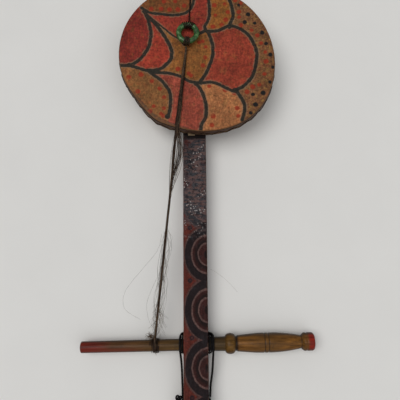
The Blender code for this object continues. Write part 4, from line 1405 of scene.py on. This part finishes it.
def make_lashing(material):
    """The black cord that holds the peg in: the inner loops, the outer bight with its legs, and the tie."""
    left, right, low = NECK_LEFT, NECK_RIGHT, LASH_Z
    clear = GAP + LASH_RADIUS
    step_z = 0.0034
    curve = None
    for turn in range(2):
        out = clear + turn * 0.0025
        tuck = 0.0024 * turn
        beside_left, beside_right = left - out + 0.0004, right + out - 0.0004
        route = [(left + 0.003, LOOP_TOP_Y, low), (beside_left, LOOP_TOP_Y - 0.0001, step_z)]
        route += over_peg(left - out, -0.3814 - tuck, -0.4038 + tuck, clear)
        route += [(beside_left, LOOP_LOW_Y, step_z), (left + 0.003, LOOP_LOW_Y, low)]
        route += [(NECK_X, LOOP_LOW_Y, low), (right - 0.003, LOOP_LOW_Y, low)]
        route += [(beside_right, LOOP_LOW_Y - 0.0001, step_z)]
        route += over_peg(right + out, -0.3814 - tuck, -0.4044 + tuck, clear)[::-1]
        route += [(beside_right, LOOP_TOP_Y - 0.0001, step_z), (right - 0.003, LOOP_TOP_Y, low)]
        path = smooth_path([*route, (NECK_X, LOOP_TOP_Y, low)], 6, closed=True)
        curve = laid_cord("lashing_loop", [*path, path[0]], LASH_RADIUS, LASH_PITCH, closed=True, into=curve)
    add_object("lashing_loop", curve, material, "fiddle", "black_cord", "lashing_inner")

    route = [(left - clear - 0.0002, TIE_Y + 0.0030, 0.0120), (left - clear - 0.0004, -0.4440, 0.0150)]
    route += [(left - 0.0024, -0.4204, 0.0190), (left - 0.0036, -0.4070, 0.0205)]
    route += over_peg(left - 0.0046, -0.3800, -0.4038, clear + GAP)[-3:0:-1]
    route += [(left - 0.0038, -0.3806, 0.0110), (left - 0.0016, -0.3789, 0.0042)]
    route += [(x, BIGHT_TOP_Y, low) for x in (left + 0.003, NECK_X, right - 0.003)]
    route += [(right + 0.0020, -0.3789, 0.0042), (right + 0.0050, -0.3801, 0.0110)]
    route += over_peg(right + 0.0063, -0.3800, -0.4038, clear + 2 * GAP)[1:-2]
    route += [(right + 0.0058, -0.4090, 0.0215), (right + 0.0045, -0.4270, 0.0190)]
    route += [(right + 0.0024, -0.4420, 0.0160), (right + clear + 0.0002, TIE_Y + 0.0030, 0.0130)]
    curve = laid_cord("lashing_bight", smooth_path(route, 6), LASH_THICK, LASH_THICK_PITCH)
    add_object("lashing_bight", curve, material, "fiddle", "black_cord", "lashing_outer")

    turns, bevel, slope = 3, 0.0016, 0.00184
    near, far, high = left - clear, right + clear, NECK_FRONT_Z + clear
    lap = [(near, low + bevel), (near, high - bevel), (near + bevel, high), (far - bevel, high)]
    lap += [(far, high - bevel), (far, low + bevel), (far - bevel, low), (near + bevel, low)]
    path = []
    for i in range(turns * len(lap) + 1):
        x, z = lap[i % len(lap)]
        path.append((x, TIE_Y - slope * i / len(lap), z))
    curve = laid_cord("lashing_turns", path, LASH_THICK, LASH_THICK_PITCH)
    add_object("lashing_turns", curve, material, "fiddle", "black_cord", "lashing_tie")

    rng = random.Random(51)
    centre = Vector((left - 2 * clear - 0.0038, TIE_Y + 0.0022, 0.0170))
    size = Vector((0.0012, 0.0016, 0.0026))
    trefoil = []
    for a in full_turn(120):
        x, y = math.sin(a) + 2 * math.sin(2 * a), math.cos(a) - 2 * math.cos(2 * a)
        trefoil.append(centre + Vector((x, y, -math.sin(3 * a))) * size)
    knot = [*trefoil, trefoil[0]]
    curve = laid_cord("lashing_end_knot", knot, LASH_RADIUS * 1.15, LASH_PITCH, closed=True)
    fuzz_on(curve, trefoil, LASH_RADIUS, 40, 0.002, 0.2, rng)
    add_object("lashing_end_knot", curve, material, "fiddle", "black_cord", "lashing_knot")

    frayed = new_curve("frayed_end", 0.00028)
    start = Vector((-0.0272, -0.4655, 0.0165))
    for _ in range(70):
        drift = scatter(rng, (-0.0050, 0.0028), (-0.012, -0.0215), (-0.002, -0.0075))
        root = start + scatter(rng, (-0.0013, 0.0013), (-0.001, 0.001), (-0.0013, 0.0013))
        path = [root]
        for share in (0.3, 0.6, 0.85, 1.0):
            path.append(root + drift * share + scatter(rng, (-1, 1), (-1, 1), (-1, 1)) * 0.0009 * share)
        add_strand(frayed, evenly(smooth_path(path, 4), 0.0012), rng.uniform(0.6, 1.0), 0.5)
    add_object("frayed_end", frayed, material, "fiddle", "black_cord", "lashing_tassel")


def dress_cad_nodes():
    """Materials for the CAD nodes that show as they are."""
    hoop = bare_wood_material("bent_wood", srgb(70, 48, 30), srgb(120, 88, 58), (40.0, 40.0, 400.0))
    wedge = bare_wood_material("wedge_wood", srgb(128, 104, 78), srgb(176, 152, 120), (300.0, 40.0, 300.0))
    for name, material in (("hoop", hoop), ("neck_wedge", wedge)):
        nodes[name].material_slots[0].material = material


def main():
    make_camera()
    make_lights()
    make_floor()
    dress_cad_nodes()
    make_front_hide(painted_hide_material())
    make_back_hide(plain_hide_material())
    make_lacing(fibre_material("hide_thong", srgb(38, 28, 22), srgb(78, 58, 42), 0.7, 200.0))
    make_neck(painted_neck_material())
    make_peg(peg_material())
    make_ring(ring_material())
    make_tail_cord(fibre_material("tail_twine", srgb(22, 10, 10), srgb(52, 26, 22), 0.7))
    dark_hair = fibre_material("dark_horsehair", srgb(26, 18, 14), srgb(62, 46, 35), 0.45)
    pale_hair = fibre_material("pale_horsehair", srgb(62, 48, 36), srgb(112, 92, 72), 0.45)
    make_string(dark_hair, pale_hair)
    make_winding(dark_hair, pale_hair)
    make_lashing(fibre_material("black_cord", srgb(9, 8, 9), srgb(24, 22, 23), 0.55))


main()
